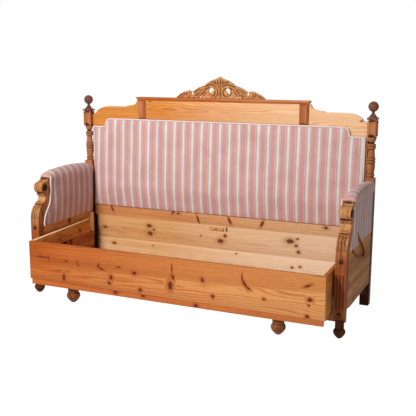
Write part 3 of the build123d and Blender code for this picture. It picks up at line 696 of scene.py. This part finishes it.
ribs = [
    scroll((49, 38), 222, -185, 33, 13, 5.6, 4.2, 44),
    scroll((208, 22), 120, -330, 17, 5, 5.2, 3.4, 30),
    *[eased(leaf, 4) for leaf in leaves],
]
slimmed = [[(x, z, width * 0.86) for x, z, width in rib] for rib in ribs]
laid_ribs(slab, slimmed, rib_face, 1.35, rise)
for way in (-1, 1):
    for x, z, radius in ((42, 33, 13), (208, 22, 6)):
        made = bmesh.ops.create_uvsphere(slab, u_segments=20, v_segments=12, radius=radius * mm)["verts"]
        bmesh.ops.scale(slab, vec=(1, 0.5, 1), verts=made)
        bmesh.ops.translate(slab, vec=(way * x * mm, eye_face, (rise + z) * mm), verts=made)


def remade(piece, size):
    """Gives a piece an even mesh, its cells of a size in metres."""
    even = piece.modifiers.new("even", "REMESH")
    even.mode = "VOXEL"
    even.voxel_size = size
    mesh = as_finished(piece)
    piece.modifiers.clear()
    piece.data = mesh


item = as_item(slab)
remade(item, 0.0019)
shape = bmesh.new()
shape.from_mesh(item.data)
bpy.data.objects.remove(item)
bmesh.ops.smooth_vert(
    shape, verts=shape.verts, factor=0.5, use_axis_x=True, use_axis_y=True, use_axis_z=True
)
set_up(shape, "crest_carved", crest_wood, "frame", "crest", sharp=70)

# ---- Stiles of the arms
# Thick fluted boards that curl back into a scroll, glued to the front of the gables, with a curved bracket
# sawn in the outer back corner of each foot. The grain runs up.
# Painted shade: dark bands in the grooves under the scroll and at the beads, in the hollow on top of the
# stile and at its foot.
stile_hollow_shade = ((680, 16, 64), (665, 2.5, 68), (592, 3, 62), (536, 3, 62), (112, 5, 68))
stile_stain = wood(
    "stile_stain", "ZY", (218, 164, 112), (156, 98, 56), (84, 40, 18), ring=6, heart=(930, -240),
    hollow_shade=1.0, drift=(500, 390, (146, 72, 34), 0.85), bold=0.8, gloss=0.6, shine=0.04,
    marks=[(z, way * 918, tall, wide) for way in (-1, 1) for z, tall, wide in stile_hollow_shade],
)
stile_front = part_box("right_front_stile")[0].y
stile_face = (
    [(0, z) for z in (104, 128, 148, 154, 160, 240, 327, 333, 339, 400, 448)]
    + eased([(0, 454), (0.6, 470), (9, 497), (25, 519), (42, 530)], 5)
    + eased([(45, 531.5), (43.6, 536.5), (47, 541.5), (54, 541.5)], 4)
    + eased([(57, 542), (74, 553), (81, 568), (77, 581), (68, 587)], 5)
    + eased([(64.5, 588), (62.6, 592.5), (64.5, 597), (69, 598.5)], 4)
    + [(73 - 31 * cos(a), 632 - 31 * sin(a)) for a in [radians(84 - n * 11) for n in range(16)]]
    + eased([(80, 663), (86, 664), (92, 668)], 3)
    + eased([(94, 669), (104, 674), (111, 682), (114, 688)], 4)
)
stile_back = [
    (122, 688), (122, 655), (126, 621), (124, 602), (117, 575), (112, 544), (98, 516), (80, 493), (60, 462),
    (50, 430),
]
stile_back = eased(stile_back, 4) + [(50, 143), (50, 104)]
bracket = eased([(3, 104), (8, 117), (22, 132), (50, 143)], 5) + [(51, 143), (51, 103), (3, 103)]
flute_middles, flute_half = (12, 28, 44), 5
bracket_inner, bracket_outer = 924, 948


def flute_depth(z):
    """How deep the flutes are at a height: none over the plain band and the foot, with rounded ends."""
    for start, end in ((152, 335), (450, 528)):
        if start < z < end:
            return min(1, (z - start) / 5, (end - z) / 5) * 3.6
    return 0


def sawn_side(shape, outline, near, far):
    """A board sawn to an outline of (y, z) in mm, as wide as from near to far in mm along x."""
    face = shape.faces.new([shape.verts.new((near * mm, y * mm, z * mm)) for y, z in outline])
    pull(shape, face, ((far - near) * mm, 0, 0))


columns = [0, 1.5]
for centre in flute_middles:
    columns += [centre + off for off in (-5, -4, -2.2, 0, 2.2, 4, 5)]
columns += [54.5, 56]
face_points = {(round(y, 2), round(z, 2)): n for n, (y, z) in enumerate(stile_face)}
last = len(stile_face) - 1
for side, way in (("left", -1), ("right", 1)):
    low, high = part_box(side + "_front_stile")
    inner = (low.x if way == 1 else high.x) * 1000
    shape = bmesh.new()
    corners = [(inner * mm, stile_front + y * mm, z * mm) for y, z in stile_face + stile_back]
    face = shape.faces.new([shape.verts.new(corner) for corner in corners])
    for before, here in zip(columns, columns[1:]):
        face = pull(shape, face, (way * (here - before) * mm, 0, 0))
    for vert in shape.verts:
        y, z = (vert.co.y - stile_front) * 1000, vert.co.z * 1000
        n = face_points.get((round(y, 2), round(z, 2)))
        if n is None:
            continue
        depth = flute_depth(z)
        nearest = min(abs(abs(vert.co.x * 1000 - inner) - centre) for centre in flute_middles)
        if depth and nearest < flute_half:
            ahead = Vector(stile_face[min(n + 1, last)]) - Vector(stile_face[max(n - 1, 0)])
            inward = Vector((ahead.y, -ahead.x)).normalized()
            sink = depth * (1 - (nearest / flute_half) ** 2) ** 0.5
            vert.co.y += inward.x * sink * mm
            vert.co.z += inward.y * sink * mm
    bmesh.ops.remove_doubles(shape, verts=shape.verts, dist=0.00002)
    tool = bmesh.new()
    bracket_line = [(stile_front * 1000 + y, z) for y, z in bracket]
    sawn_side(tool, bracket_line, way * bracket_inner, way * bracket_outer)
    set_up(carve(shape, tool), side + "_stile", stile_stain, "frame", side + "_front_stile", sharp=30)

dark_gloss, nodes, shader = blank("dark_gloss")
scuffs = ramp(nodes, noise(nodes, None, 260.0, 3.0)[0], [(0.3, tint(30, 20, 18)), (0.7, tint(58, 40, 32))])
wire(shader, {"Base Color": scuffs, "Roughness": 0.3, "Specular IOR Level": 0.2})
refinish(dark_gloss, "stile_knobs")
eye_stain = wood(
    "eye_stain", "XY", (92, 52, 34), (56, 30, 20), (30, 18, 14), ring=3, heart=(640, -200),
    gloss=0.6, shine=0.03, hollow_shade=0.8,
)
refinish(eye_stain, "right_scroll_eyes", "left_scroll_eyes")

# ---- Feet
# Turned buns of stained pine on short straight necks, dowelled under the stiles and the sliding front.
foot_stain = wood(
    "foot_stain", "ZY", (148, 90, 52), (104, 58, 32), (60, 32, 18), ring=4, heart=(900, -300),
    gloss=0.4, shine=0.1, hollow_shade=0.8,
)
# The stiles' feet: a dark stain, painted darker still for the shade they stand in.
shaded_dark_stain = wood(
    "shaded_dark_stain", "ZY", (106, 64, 38), (68, 38, 22), (40, 22, 14), ring=4, heart=(900, -300),
    gloss=0.55, shine=0.03, hollow_shade=0.8,
)
stile_foot = (
    [(0, 0), (9, 0)]
    + eased([(10, 0.8), (18, 8), (26, 19), (30.6, 30), (30.4, 38), (27, 45.5), (24, 49)], 5)
    + [(22.3, 50.5), (22.3, 52), (23, 53), (23, 104), (0, 104)]
)
drawer_foot = (
    [(0, 0), (9, 0)]
    + eased([(11, 0.8), (22, 10), (33, 24), (38.7, 37), (38.2, 46), (34, 55), (31.5, 58.5)], 5)
    + [(29.8, 59.5), (29.8, 61.5), (31, 62.5), (31, 76), (30, 77), (30, 78.5), (31, 79.5), (31, 94), (0, 94)]
)
for place, body, outline, finish in (
    ("front_foot", "frame", stile_foot, shaded_dark_stain),
    ("drawer_foot", "drawer", drawer_foot, foot_stain),
):
    for node in ("left_" + place, "right_" + place):
        shape = bmesh.new()
        turn(shape, axis_of(node), outline)
        set_up(shape, node + "_turned", finish, body, node)

# ---- Gables and arm boards
# Pine boards between the stile and the rear post, varnished inside and out.
gable_pine = wood(
    "gable_pine", "YX", (206, 150, 94), (162, 108, 60), (128, 82, 50), ring=8, heart=(300, 900),
    knots=[(-197, 275, 30, 12), (-76, 212, 22, 12), (-78, 159, 16, 26)],
    marks=[(60, 208, 150, 4, 12), (-20, 200, 50, 9, 14), (30, 216, 60, 4, 10)],
    drift=(-120, 300, (168, 118, 72), 0.3), gloss=0.5, shine=0.02,
)
arm_pine = wood(
    "arm_pine", "YX", (224, 158, 98), (204, 132, 74), (140, 74, 36), ring=8, heart=(500, 900),
    gloss=0.5, knots=[(49, 386, 26, 30), (120, 330, 16, 12)],
)
refinish(gable_pine, "left_side_panel", "right_side_panel")
refinish(arm_pine, "left_arm_board", "right_arm_board")
refinish(plain_pine, "left_arm_rail", "right_arm_rail")

# ---- Upholstered arms
# Padding over the arm boards under a striped cover that is drawn over the top and nailed to the gable, with
# a pale braid over the nails along the stile.
stripe_repeat = 61.1


def striped(name, axis, middle):
    """Woven stripes across one axis: off-white between grey threads, then two roses."""
    cloth, nodes, shader = blank(name)
    place = join(nodes, "ShaderNodeTexCoord").outputs["Object"]
    along = join(nodes, "ShaderNodeSeparateXYZ", place).outputs[axis]
    waver = maths(nodes, "SUBTRACT", noise(nodes, place, 5.0, 1.0)[0], 0.5)
    along = maths(nodes, "ADD", along, maths(nodes, "MULTIPLY", waver, 0.004))
    start = (middle - stripe_repeat / 2) * mm
    repeat = maths(nodes, "DIVIDE", maths(nodes, "SUBTRACT", along, start), stripe_repeat * mm)
    white, thread, blush = tint(226, 213, 211), tint(168, 152, 150), tint(212, 181, 177)
    line, rose, light_rose = tint(188, 150, 146), tint(209, 156, 149), tint(207, 162, 156)
    bands = [
        (0.0, rose), (7.5, rose), (8.3, line), (9.3, line), (10.0, blush), (16.0, blush), (16.8, line),
        (18.2, line), (19.0, blush), (20.8, blush), (21.4, thread), (22.8, thread), (23.4, white),
        (37.7, white), (38.3, thread), (40.0, thread), (40.6, blush), (45.5, blush), (46.3, line),
        (47.8, line), (48.6, light_rose), (53.0, light_rose), (53.8, rose), (61.1, rose),
    ]
    colour = ramp(nodes, maths(nodes, "FRACT", repeat), [(at / stripe_repeat, dye) for at, dye in bands])
    slub = noise(nodes, place, 1.0, 1.0, (900, 900, 900))[0]
    weave = join(nodes, "ShaderNodeCombineColor", slub, slub, slub).outputs[0]
    colour = blend(nodes, "SOFT_LIGHT", 0.3, colour, weave)
    used = ramp(nodes, noise(nodes, place, 9.0, 3.0)[0], [(0.3, tint(240, 236, 232)), (0.7, grey(1))])
    colour = blend(nodes, "MULTIPLY", 1.0, colour, used)
    wire(shader, {"Base Color": colour, "Normal": bumps(nodes, slub, 0.25, 0.0005)})
    wire(shader, {"Roughness": 0.9, "Sheen Weight": 0.1, "Specular IOR Level": 0.15})
    return cloth


arm_cloth = striped("arm_cloth", "Y", -48)
braid, nodes, shader = blank("braid")
twist = noise(nodes, None, 190.0, 2.0)[0]
strands = ramp(nodes, twist, [(0.35, tint(206, 184, 181)), (0.6, tint(242, 228, 226))])
wire(shader, {"Base Color": strands, "Normal": bumps(nodes, twist, 0.5, 0.001)})
wire(shader, {"Roughness": 0.9, "Specular IOR Level": 0.15})

arm_inside = [(894, 402), (889, 403), (883, 440), (876, 520), (874, 600), (876, 670), (878, 689)]
arm_over = [
    (878, 689), (881, 708), (889, 721), (906, 730), (922, 733), (940, 730), (953, 719), (957, 704),
    (956, 689), (948, 660),
]
arm_ring = eased(arm_inside, 5) + eased(arm_over, 5)[1:] + [(946, 656), (936, 656), (936, 700), (894, 700)]
arm_crown = [
    (112, 688), (117, 697), (125, 705), (135, 711), (152, 716), (204, 724), (300, 731), (380, 733),
    (480, 729), (584, 719),
]
arm_crown = eased(arm_crown, 6)
arm_steps = [0.01, 0.022, 0.036, 0.052, 0.07, 0.1, 0.16, 0.24, 0.34, 0.45, 0.56, 0.67, 0.78]
arm_steps += [0.88, 0.94, 0.97, 0.985, 1]
post_face, board_face, stile_top, stile_depth, crown_foot, crown_tall = 584, 894, 688, 122, 660, 73
front_reach, rear_reach, shoulder_foot, shoulder_tall = 80, 30, 630, 60
back_line = [(z, y) for y, z in stile_back[:-2]]


def level(points, at):
    """Reads the second number of a line of points at a value of the first."""
    ordered = sorted(points)
    for (a, b), (c, d) in zip(ordered, ordered[1:]):
        if a <= at <= c:
            return b + (d - b) * (at - a) / ((c - a) or 1)
    return ordered[0][1] if at < ordered[0][0] else ordered[-1][1]


def rounded(distance, reach):
    """How full the padding is at a distance from its edge."""
    return (1 - (1 - min(max(distance, 0) / reach, 1)) ** 2) ** 0.5


def arm_place(x, z, t):
    """Where a point of the arm's section goes at t, from 0 against the stile to 1 against the post."""
    front = level(back_line, z) if z < stile_top else stile_depth - (z - stile_top) * 0.2
    y = front + t * (post_face - front)
    if z > crown_foot:
        z = crown_foot + (z - crown_foot) * (level(arm_crown, y) - crown_foot) / crown_tall
    if x < board_face:
        full = sin(min(max(y - front, 0) / front_reach, 1) * pi / 2) * rounded(post_face - y, rear_reach)
        full += (1 - full) * min(max((z - shoulder_foot) / shoulder_tall, 0), 1)
        x = board_face - 1 - (board_face - 1 - x) * full
    return x, y, z


def fill(pad, nailed):
    """Lets the filling press the cover out. The nailed edges stay, and nothing moves more than 5 mm."""
    most = 0.005
    before = [vert.co.copy() for vert in pad.data.vertices]
    edge = pad.vertex_groups.new(name="nailed")
    edge.add([n for n, place in enumerate(before) if nailed(place)], 1.0, "REPLACE")
    cloth = pad.modifiers.new("cover", "CLOTH")
    cloth.settings.quality = 4
    cloth.settings.tension_stiffness = 20
    cloth.settings.compression_stiffness = 20
    cloth.settings.shear_stiffness = 8
    cloth.settings.bending_stiffness = 1.5
    cloth.settings.use_pressure = True
    cloth.settings.uniform_pressure_force = 4
    cloth.settings.vertex_group_mass = "nailed"
    cloth.settings.effector_weights.gravity = 0
    cloth.point_cache.frame_start = 1
    cloth.point_cache.frame_end = 20
    for step in range(1, 21):
        bpy.context.scene.frame_set(step)
    swollen = as_finished(pad)
    pad.modifiers.clear()
    pad.vertex_groups.clear()
    for vert, start in zip(pad.data.vertices, before):
        move = swollen.vertices[vert.index].co - start
        if move.length > most:
            move *= most / move.length
        vert.co = start + move
    bpy.data.meshes.remove(swollen)
    bpy.context.scene.frame_set(1)


def finish_pad(pad, cloth):
    """Gives the pad its cloth and evens out its surface."""
    pad.data.materials.clear()
    pad.data.materials.append(cloth)
    pad.data.shade_smooth()
    finer = pad.modifiers.new("finer", "SUBSURF")
    finer.levels = finer.render_levels = 1


def arm_nailed(place):
    """Whether a point of an arm's cover is held: on the boards, at the hem, the stile or the post."""
    x, y, z = abs(place.x) * 1000, (place.y - stile_front) * 1000, place.z * 1000
    on_boards = 892 < x < 938 and z < 699
    at_stile = y < level(back_line, min(z, stile_top)) + 5
    return on_boards or z < 409 or at_stile or y > post_face - 4 or (x > 938 and z < 664)


inner_welt = [(885.4 - max(z - 640, 0) * 0.1, level(back_line, z) + 2, z) for z in range(404, 696, 8)]
outer_welt = [(948, level(back_line, z) + 1, z) for z in range(672, 434, -8)]
welt_half, cover_hem, cover_wide, cover_tall, cover_face = 5, 434.5, 0.534, 0.229, 945
for side, way in (("left", -1), ("right", 1)):
    shape = bmesh.new()
    first = [shape.verts.new((x, 0, z)) for x, z in arm_ring]
    loop = [shape.edges.new((a, b)) for a, b in zip(first, first[1:] + first[:1])]
    for step in arm_steps:
        pulled = bmesh.ops.extrude_edge_only(shape, edges=loop)["geom"]
        verts = {v for v in pulled if isinstance(v, bmesh.types.BMVert)}
        loop = [e for e in pulled if isinstance(e, bmesh.types.BMEdge) and set(e.verts) <= verts]
        for vert in verts:
            vert.co.y = step
    shape.faces.new(first)
    bmesh.ops.holes_fill(shape, edges=loop, sides=0)
    for z in range(416, 700, 12):
        whole = shape.verts[:] + shape.edges[:] + shape.faces[:]
        bmesh.ops.bisect_plane(shape, geom=whole, plane_co=(0, 0, z), plane_no=(0, 0, 1))
    for vert in shape.verts:
        x, y, z = arm_place(vert.co.x, vert.co.z, vert.co.y)
        vert.co = (way * x * mm, stile_front + y * mm, z * mm)
    pad = set_up(shape, side + "_arm_padding", arm_cloth, "frame", side + "_arm_pad")
    remade(pad, 0.005)
    fill(pad, arm_nailed)
    finish_pad(pad, arm_cloth)

    shape = bmesh.new()
    behind = stile_front * 1000
    welts = [[(way * x, behind + y, z, welt_half) for x, y, z in welt] for welt in (inner_welt, outer_welt)]
    shape.from_mesh(rods(welts, 2))
    piece = set_up(shape, side + "_arm_braid", braid, "frame", sharp=60)

    shape = bmesh.new()
    bmesh.ops.create_grid(shape, x_segments=40, y_segments=24, size=0.5)
    for vert in shape.verts:
        along, up = vert.co.x + 0.5, vert.co.y + 0.5
        z = cover_hem + up * cover_tall * 1000
        front = level(back_line, z)
        y = front + 0.5 + along * (post_face - front - 1)
        slack = 0.3 * sin(along * 19) * sin(up * 5 + along * 6) * (1 - up)
        vert.co = (way * (cover_face + slack) * mm, stile_front + y * mm, z * mm)
    area = round(sum(face.calc_area() for face in shape.faces), 4)
    shape.normal_update()
    bmesh.ops.solidify(shape, geom=shape.faces, thickness=0.0012)
    piece = set_up(shape, side + "_arm_outer_cover", arm_cloth, "frame", side + "_arm_cover", sharp=60)

# ---- Upholstered back
# One wide padded panel, fullest low down where one leans, nailed to the boards behind it, with braid over
# the nails along the top, the shoulders and the ends.
back_cloth = striped("back_cloth", "X", 13.5)
low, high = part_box("back_pad")
pad_end, pad_hem, pad_top, pad_shoulder = 887, 439, 1014, 962
round_x, round_z, round_by, round_end = 757, 974, 40, 797


def quarter_turn(x, z, radius, steps):
    """Points on a rounding about (x, z), by steps of 15 degrees from its top."""
    angles = [radians(n * 15) for n in steps]
    return [(x + radius * sin(a), z + radius * cos(a)) for a in angles]


def hollow_turn(x, z, steps):
    """Points on a small hollow about (x, z), by steps of 22.5 degrees from its near end."""
    angles = [radians(n * 22.5) for n in steps]
    return [(x - 15 * cos(a), z - 15 * sin(a)) for a in angles]


corner = quarter_turn(round_x, round_z, round_by, range(1, 7)) + hollow_turn(812, 977, range(5))
pad_edge = [(round_x, pad_top)] + corner + [(pad_end, pad_shoulder), (pad_end, pad_hem)]
shape = bmesh.new()
sawn_board(shape, mirrored(pad_edge), high.y - 0.014, high.y, 3)
pad = set_up(shape, "back_padding", back_cloth, "frame", "back_pad")
remade(pad, 0.0095)
fullness = [
    (439, 12), (459, 20), (509, 26), (589, 28), (700, 25), (800, 18.5), (900, 12.5), (1001, 10), (1014, 8)
]


def inset_from_edge(x, z):
    """How far a point of the back's padding is from its outline, in mm."""
    from_hem, from_end, from_shoulder = z - pad_hem, pad_end - x, pad_shoulder - z
    if x <= round_x:
        return min(from_hem, pad_top - z)
    if x <= round_end and z > round_z:
        return min(round_by - ((x - round_x) ** 2 + (z - round_z) ** 2) ** 0.5, from_hem)
    if x >= round_end:
        return min(from_end, from_hem, from_shoulder)
    from_round = round_end - x
    return min(from_end, from_hem, from_round if z > pad_shoulder else from_shoulder + from_round)


for vert in pad.data.vertices:
    x, z = abs(vert.co.x) * 1000, vert.co.z * 1000
    if vert.co.y < high.y - 0.007:
        swell = (level(fullness, z) - 7) * rounded(inset_from_edge(x, z), 40)
        vert.co.y = high.y - (7 + swell) * mm


def back_nailed(place):
    """Whether a point of the back's cover is held: on the boards behind or round the edge."""
    on_boards = place.y > high.y - 0.004
    return on_boards or inset_from_edge(abs(place.x) * 1000, place.z * 1000) < 5


fill(pad, back_nailed)
finish_pad(pad, back_cloth)
braid_line = [(882, 446), (882, 957), (812, 957)] + hollow_turn(807, 972, range(3, -1, -1))
braid_line += quarter_turn(round_x, round_z, 35, range(6, 0, -1))
braid_line += [(round_x - n * 12, 1009) for n in range(64)]
shape = bmesh.new()
laid_ribs(shape, [[(x, z, 4.6) for x, z in braid_line]], high.y - 0.0105, 0.7)
piece = set_up(shape, "back_braid", braid, "frame", sharp=60)

# ---- Bed bottom
# Bare slats, the ledges and stretcher that carry them, and the runners and guides of the sliding part.
slat_pine = wood(
    "slat_pine", "YZ", (216, 164, 112), (196, 138, 86), (166, 106, 60), ring=7, heart=(100, 110),
    gloss=0.6, shine=0.12,
)
brown_pine = wood(
    "brown_pine", "YX", (190, 120, 66), (164, 94, 48), (120, 62, 30), ring=7, heart=(330, 800), gloss=0.5
)
# Guide battens: pale pine, painted paler still to make up for the shade they stand in.
pale_and_lit_upright = wood(
    "pale_and_lit_upright", "ZY", (248, 216, 164), (236, 196, 140), (190, 134, 84), ring=8, heart=(560, 420),
    gloss=0.6, bold=0.3,
)
refinish(plain_pine, "front_stretcher", "back_ledger")
refinish(slat_pine, "fixed_slats", "drawer_slats")
refinish(brown_pine, "right_runner", "left_runner")
refinish(pale_and_lit_upright, "right_guide_batten", "left_guide_batten")

# ---- Sliding front
# One broad varnished board with many knots over a narrow rounded moulding. It carries its own sides, slats
# and two feet. The left side's upper edge is bare, the right side's is worn brown.
# The drift paints the board paler toward the right end: painted light.
front_pine = wood(
    "front_pine", "XY", (190, 108, 48), (160, 80, 30), (132, 56, 20), ring=7.5, heart=(200, -352),
    lean=0.022, bold=0.7, upper=(240, 0.03, (232, 212, 192), 0.7),
    knots=[
        (-788, 264, 90, 7), (-745, 266, 16, 12), (-742, 251, 10, 10), (-623, 257, 16, 12),
        (-547, 257, 6, 24), (-541, 242, 12, 8), (-410, 256, 10, 26, -18), (-391, 240, 36, 10, -18),
        (-280, 263, 20, 9), (-181, 241, 24, 18), (-641, 159, 18, 34), (-329, 198, 18, 26),
        (-341, 165, 18, 16), (-146, 151, 20, 18), (47, 293, 7, 36), (52, 247, 14, 26, 20),
        (37, 200, 26, 44), (224, 253, 16, 22, 20), (283, 173, 16, 14), (444, 292, 7, 34),
        (458, 262, 12, 40, 28), (478, 242, 26, 10, -30), (563, 195, 14, 12), (787, 293, 34, 10, 24),
        (800, 224, 22, 18), (795, 196, 10, 8), (788, 137, 18, 14),
    ],
    drift=(-800, 860, (230, 168, 106), 0.85),
)
planed("front_board", front_pine, "drawer", "drawer_front", 2)
# Painted paler toward the right end: painted light.
moulding_pine = wood(
    "moulding_pine", "XY", (196, 108, 50), (168, 82, 34), (126, 56, 22), ring=6, heart=(60, -340),
    knots=[(-130, 118, 22, 12), (-304, 115, 30, 16), (185, 108, 22, 18)],
    drift=(-800, 860, (206, 132, 76), 0.6),
)
planed("front_moulding", moulding_pine, "drawer", "drawer_moulding", 4, 3)
side_pine = wood(
    "side_pine", "YX", (212, 142, 72), (186, 114, 54), (124, 64, 30), ring=7, heart=(330, 800),
    gloss=0.5, knots=[(107, 315, 18, 22), (184, 256, 16, 14), (-109, 297, 14, 12)],
)
fresh_edge = wood(
    "fresh_edge", "YZ", (250, 222, 174), (240, 204, 152), (190, 134, 84), ring=7, heart=(100, 110),
    gloss=0.6, bold=0.3,
)
side_low_z, side_top_z, side_front_z, slat_face_z = 277, 366, 349, 136.3
side_front, side_step, side_rear, side_inner, side_outer = -358, -98, 222, 857, 877
side_line = [
    (side_front, slat_face_z), (side_step, slat_face_z), (side_step, side_low_z), (side_rear, side_low_z),
    (side_rear, side_top_z), (side_front, side_front_z),
]
for side, way, edge_finish in (("left", -1, fresh_edge), ("right", 1, brown_pine)):
    shape = bmesh.new()
    sawn_side(shape, side_line, way * side_inner, way * side_outer)
    ease_edges(shape, shape.edges, 1.2)
    board = set_up(shape, side + "_side_board", side_pine, "drawer", side + "_drawer_side")
    board.data.materials.append(edge_finish)
    for face in board.data.polygons:
        face.material_index = int(face.normal.z > 0.7 and face.center.z > 0.3)
refinish(plain_pine, "drawer_bottom_rail", "drawer_stops")

# ---- Turn button and strap
# A small wooden button on a screw, and a worn leather strap, tacked to the right gable, that hangs twisted.
button_pine = wood(
    "button_pine", "XY", (240, 190, 136), (216, 160, 106), (150, 94, 52), ring=5, heart=(340, 300),
    gloss=0.55, hollow_shade=0.5,
)
refinish(button_pine, "turn_button")
refinish(dark_gloss, "button_screw", "strap_tacks")
leather, nodes, shader = blank("leather")
creases = ramp(nodes, noise(nodes, None, 120.0, 4.0)[0], [(0.35, tint(96, 44, 22)), (0.6, tint(176, 92, 48))])
wire(shader, {"Base Color": creases, "Roughness": 0.7, "Specular IOR Level": 0.1})
strap_line = [
    (231, 504, 0), (246, 478, 0.1), (265, 452, 0.5), (300, 424, 1), (333, 399, 1), (357, 371, 1),
    (336, 355, 0.9), (290, 364, 0.6), (235, 379, 0.3), (170, 408, 0.1), (114, 434, 0),
]
strap_line = eased(strap_line, 5)
strap_face, strap_off, strap_half, strap_thick = 947.2, 6.7, 6.5, 0.003
shape = bmesh.new()
edge = None
for n, (y, z, stand) in enumerate(strap_line):
    before, after = strap_line[max(n - 1, 0)], strap_line[min(n + 1, len(strap_line) - 1)]
    ahead = Vector(after[:2]) - Vector(before[:2])
    beside = Vector((0, -ahead.y, ahead.x)).normalized()
    lean_out = min(max(stand, 0), 1) * pi / 2
    reach = (beside * cos(lean_out) + Vector((1, 0, 0)) * sin(lean_out)) * strap_half
    centre = Vector((strap_face + strap_off * sin(lean_out), stile_front * 1000 + y, z))
    ends = (centre - reach) * mm, (centre + reach) * mm
    if edge is None:
        edge = shape.edges.new([shape.verts.new(end) for end in ends])
        tail = list(edge.verts)
        continue
    pulled = bmesh.ops.extrude_edge_only(shape, edges=[edge])["geom"]
    fresh = [v for v in pulled if isinstance(v, bmesh.types.BMVert)]
    edge = [e for e in pulled if isinstance(e, bmesh.types.BMEdge) and set(e.verts) == set(fresh)][0]
    fresh.sort(key=lambda v: (v.co - tail[0].co).length)
    fresh[0].co, fresh[1].co = ends
    tail = fresh
shape.normal_update()
bmesh.ops.solidify(shape, geom=shape.faces, thickness=strap_thick)
set_up(shape, "hanging_strap", leather, "frame", "leather_strap", sharp=50)
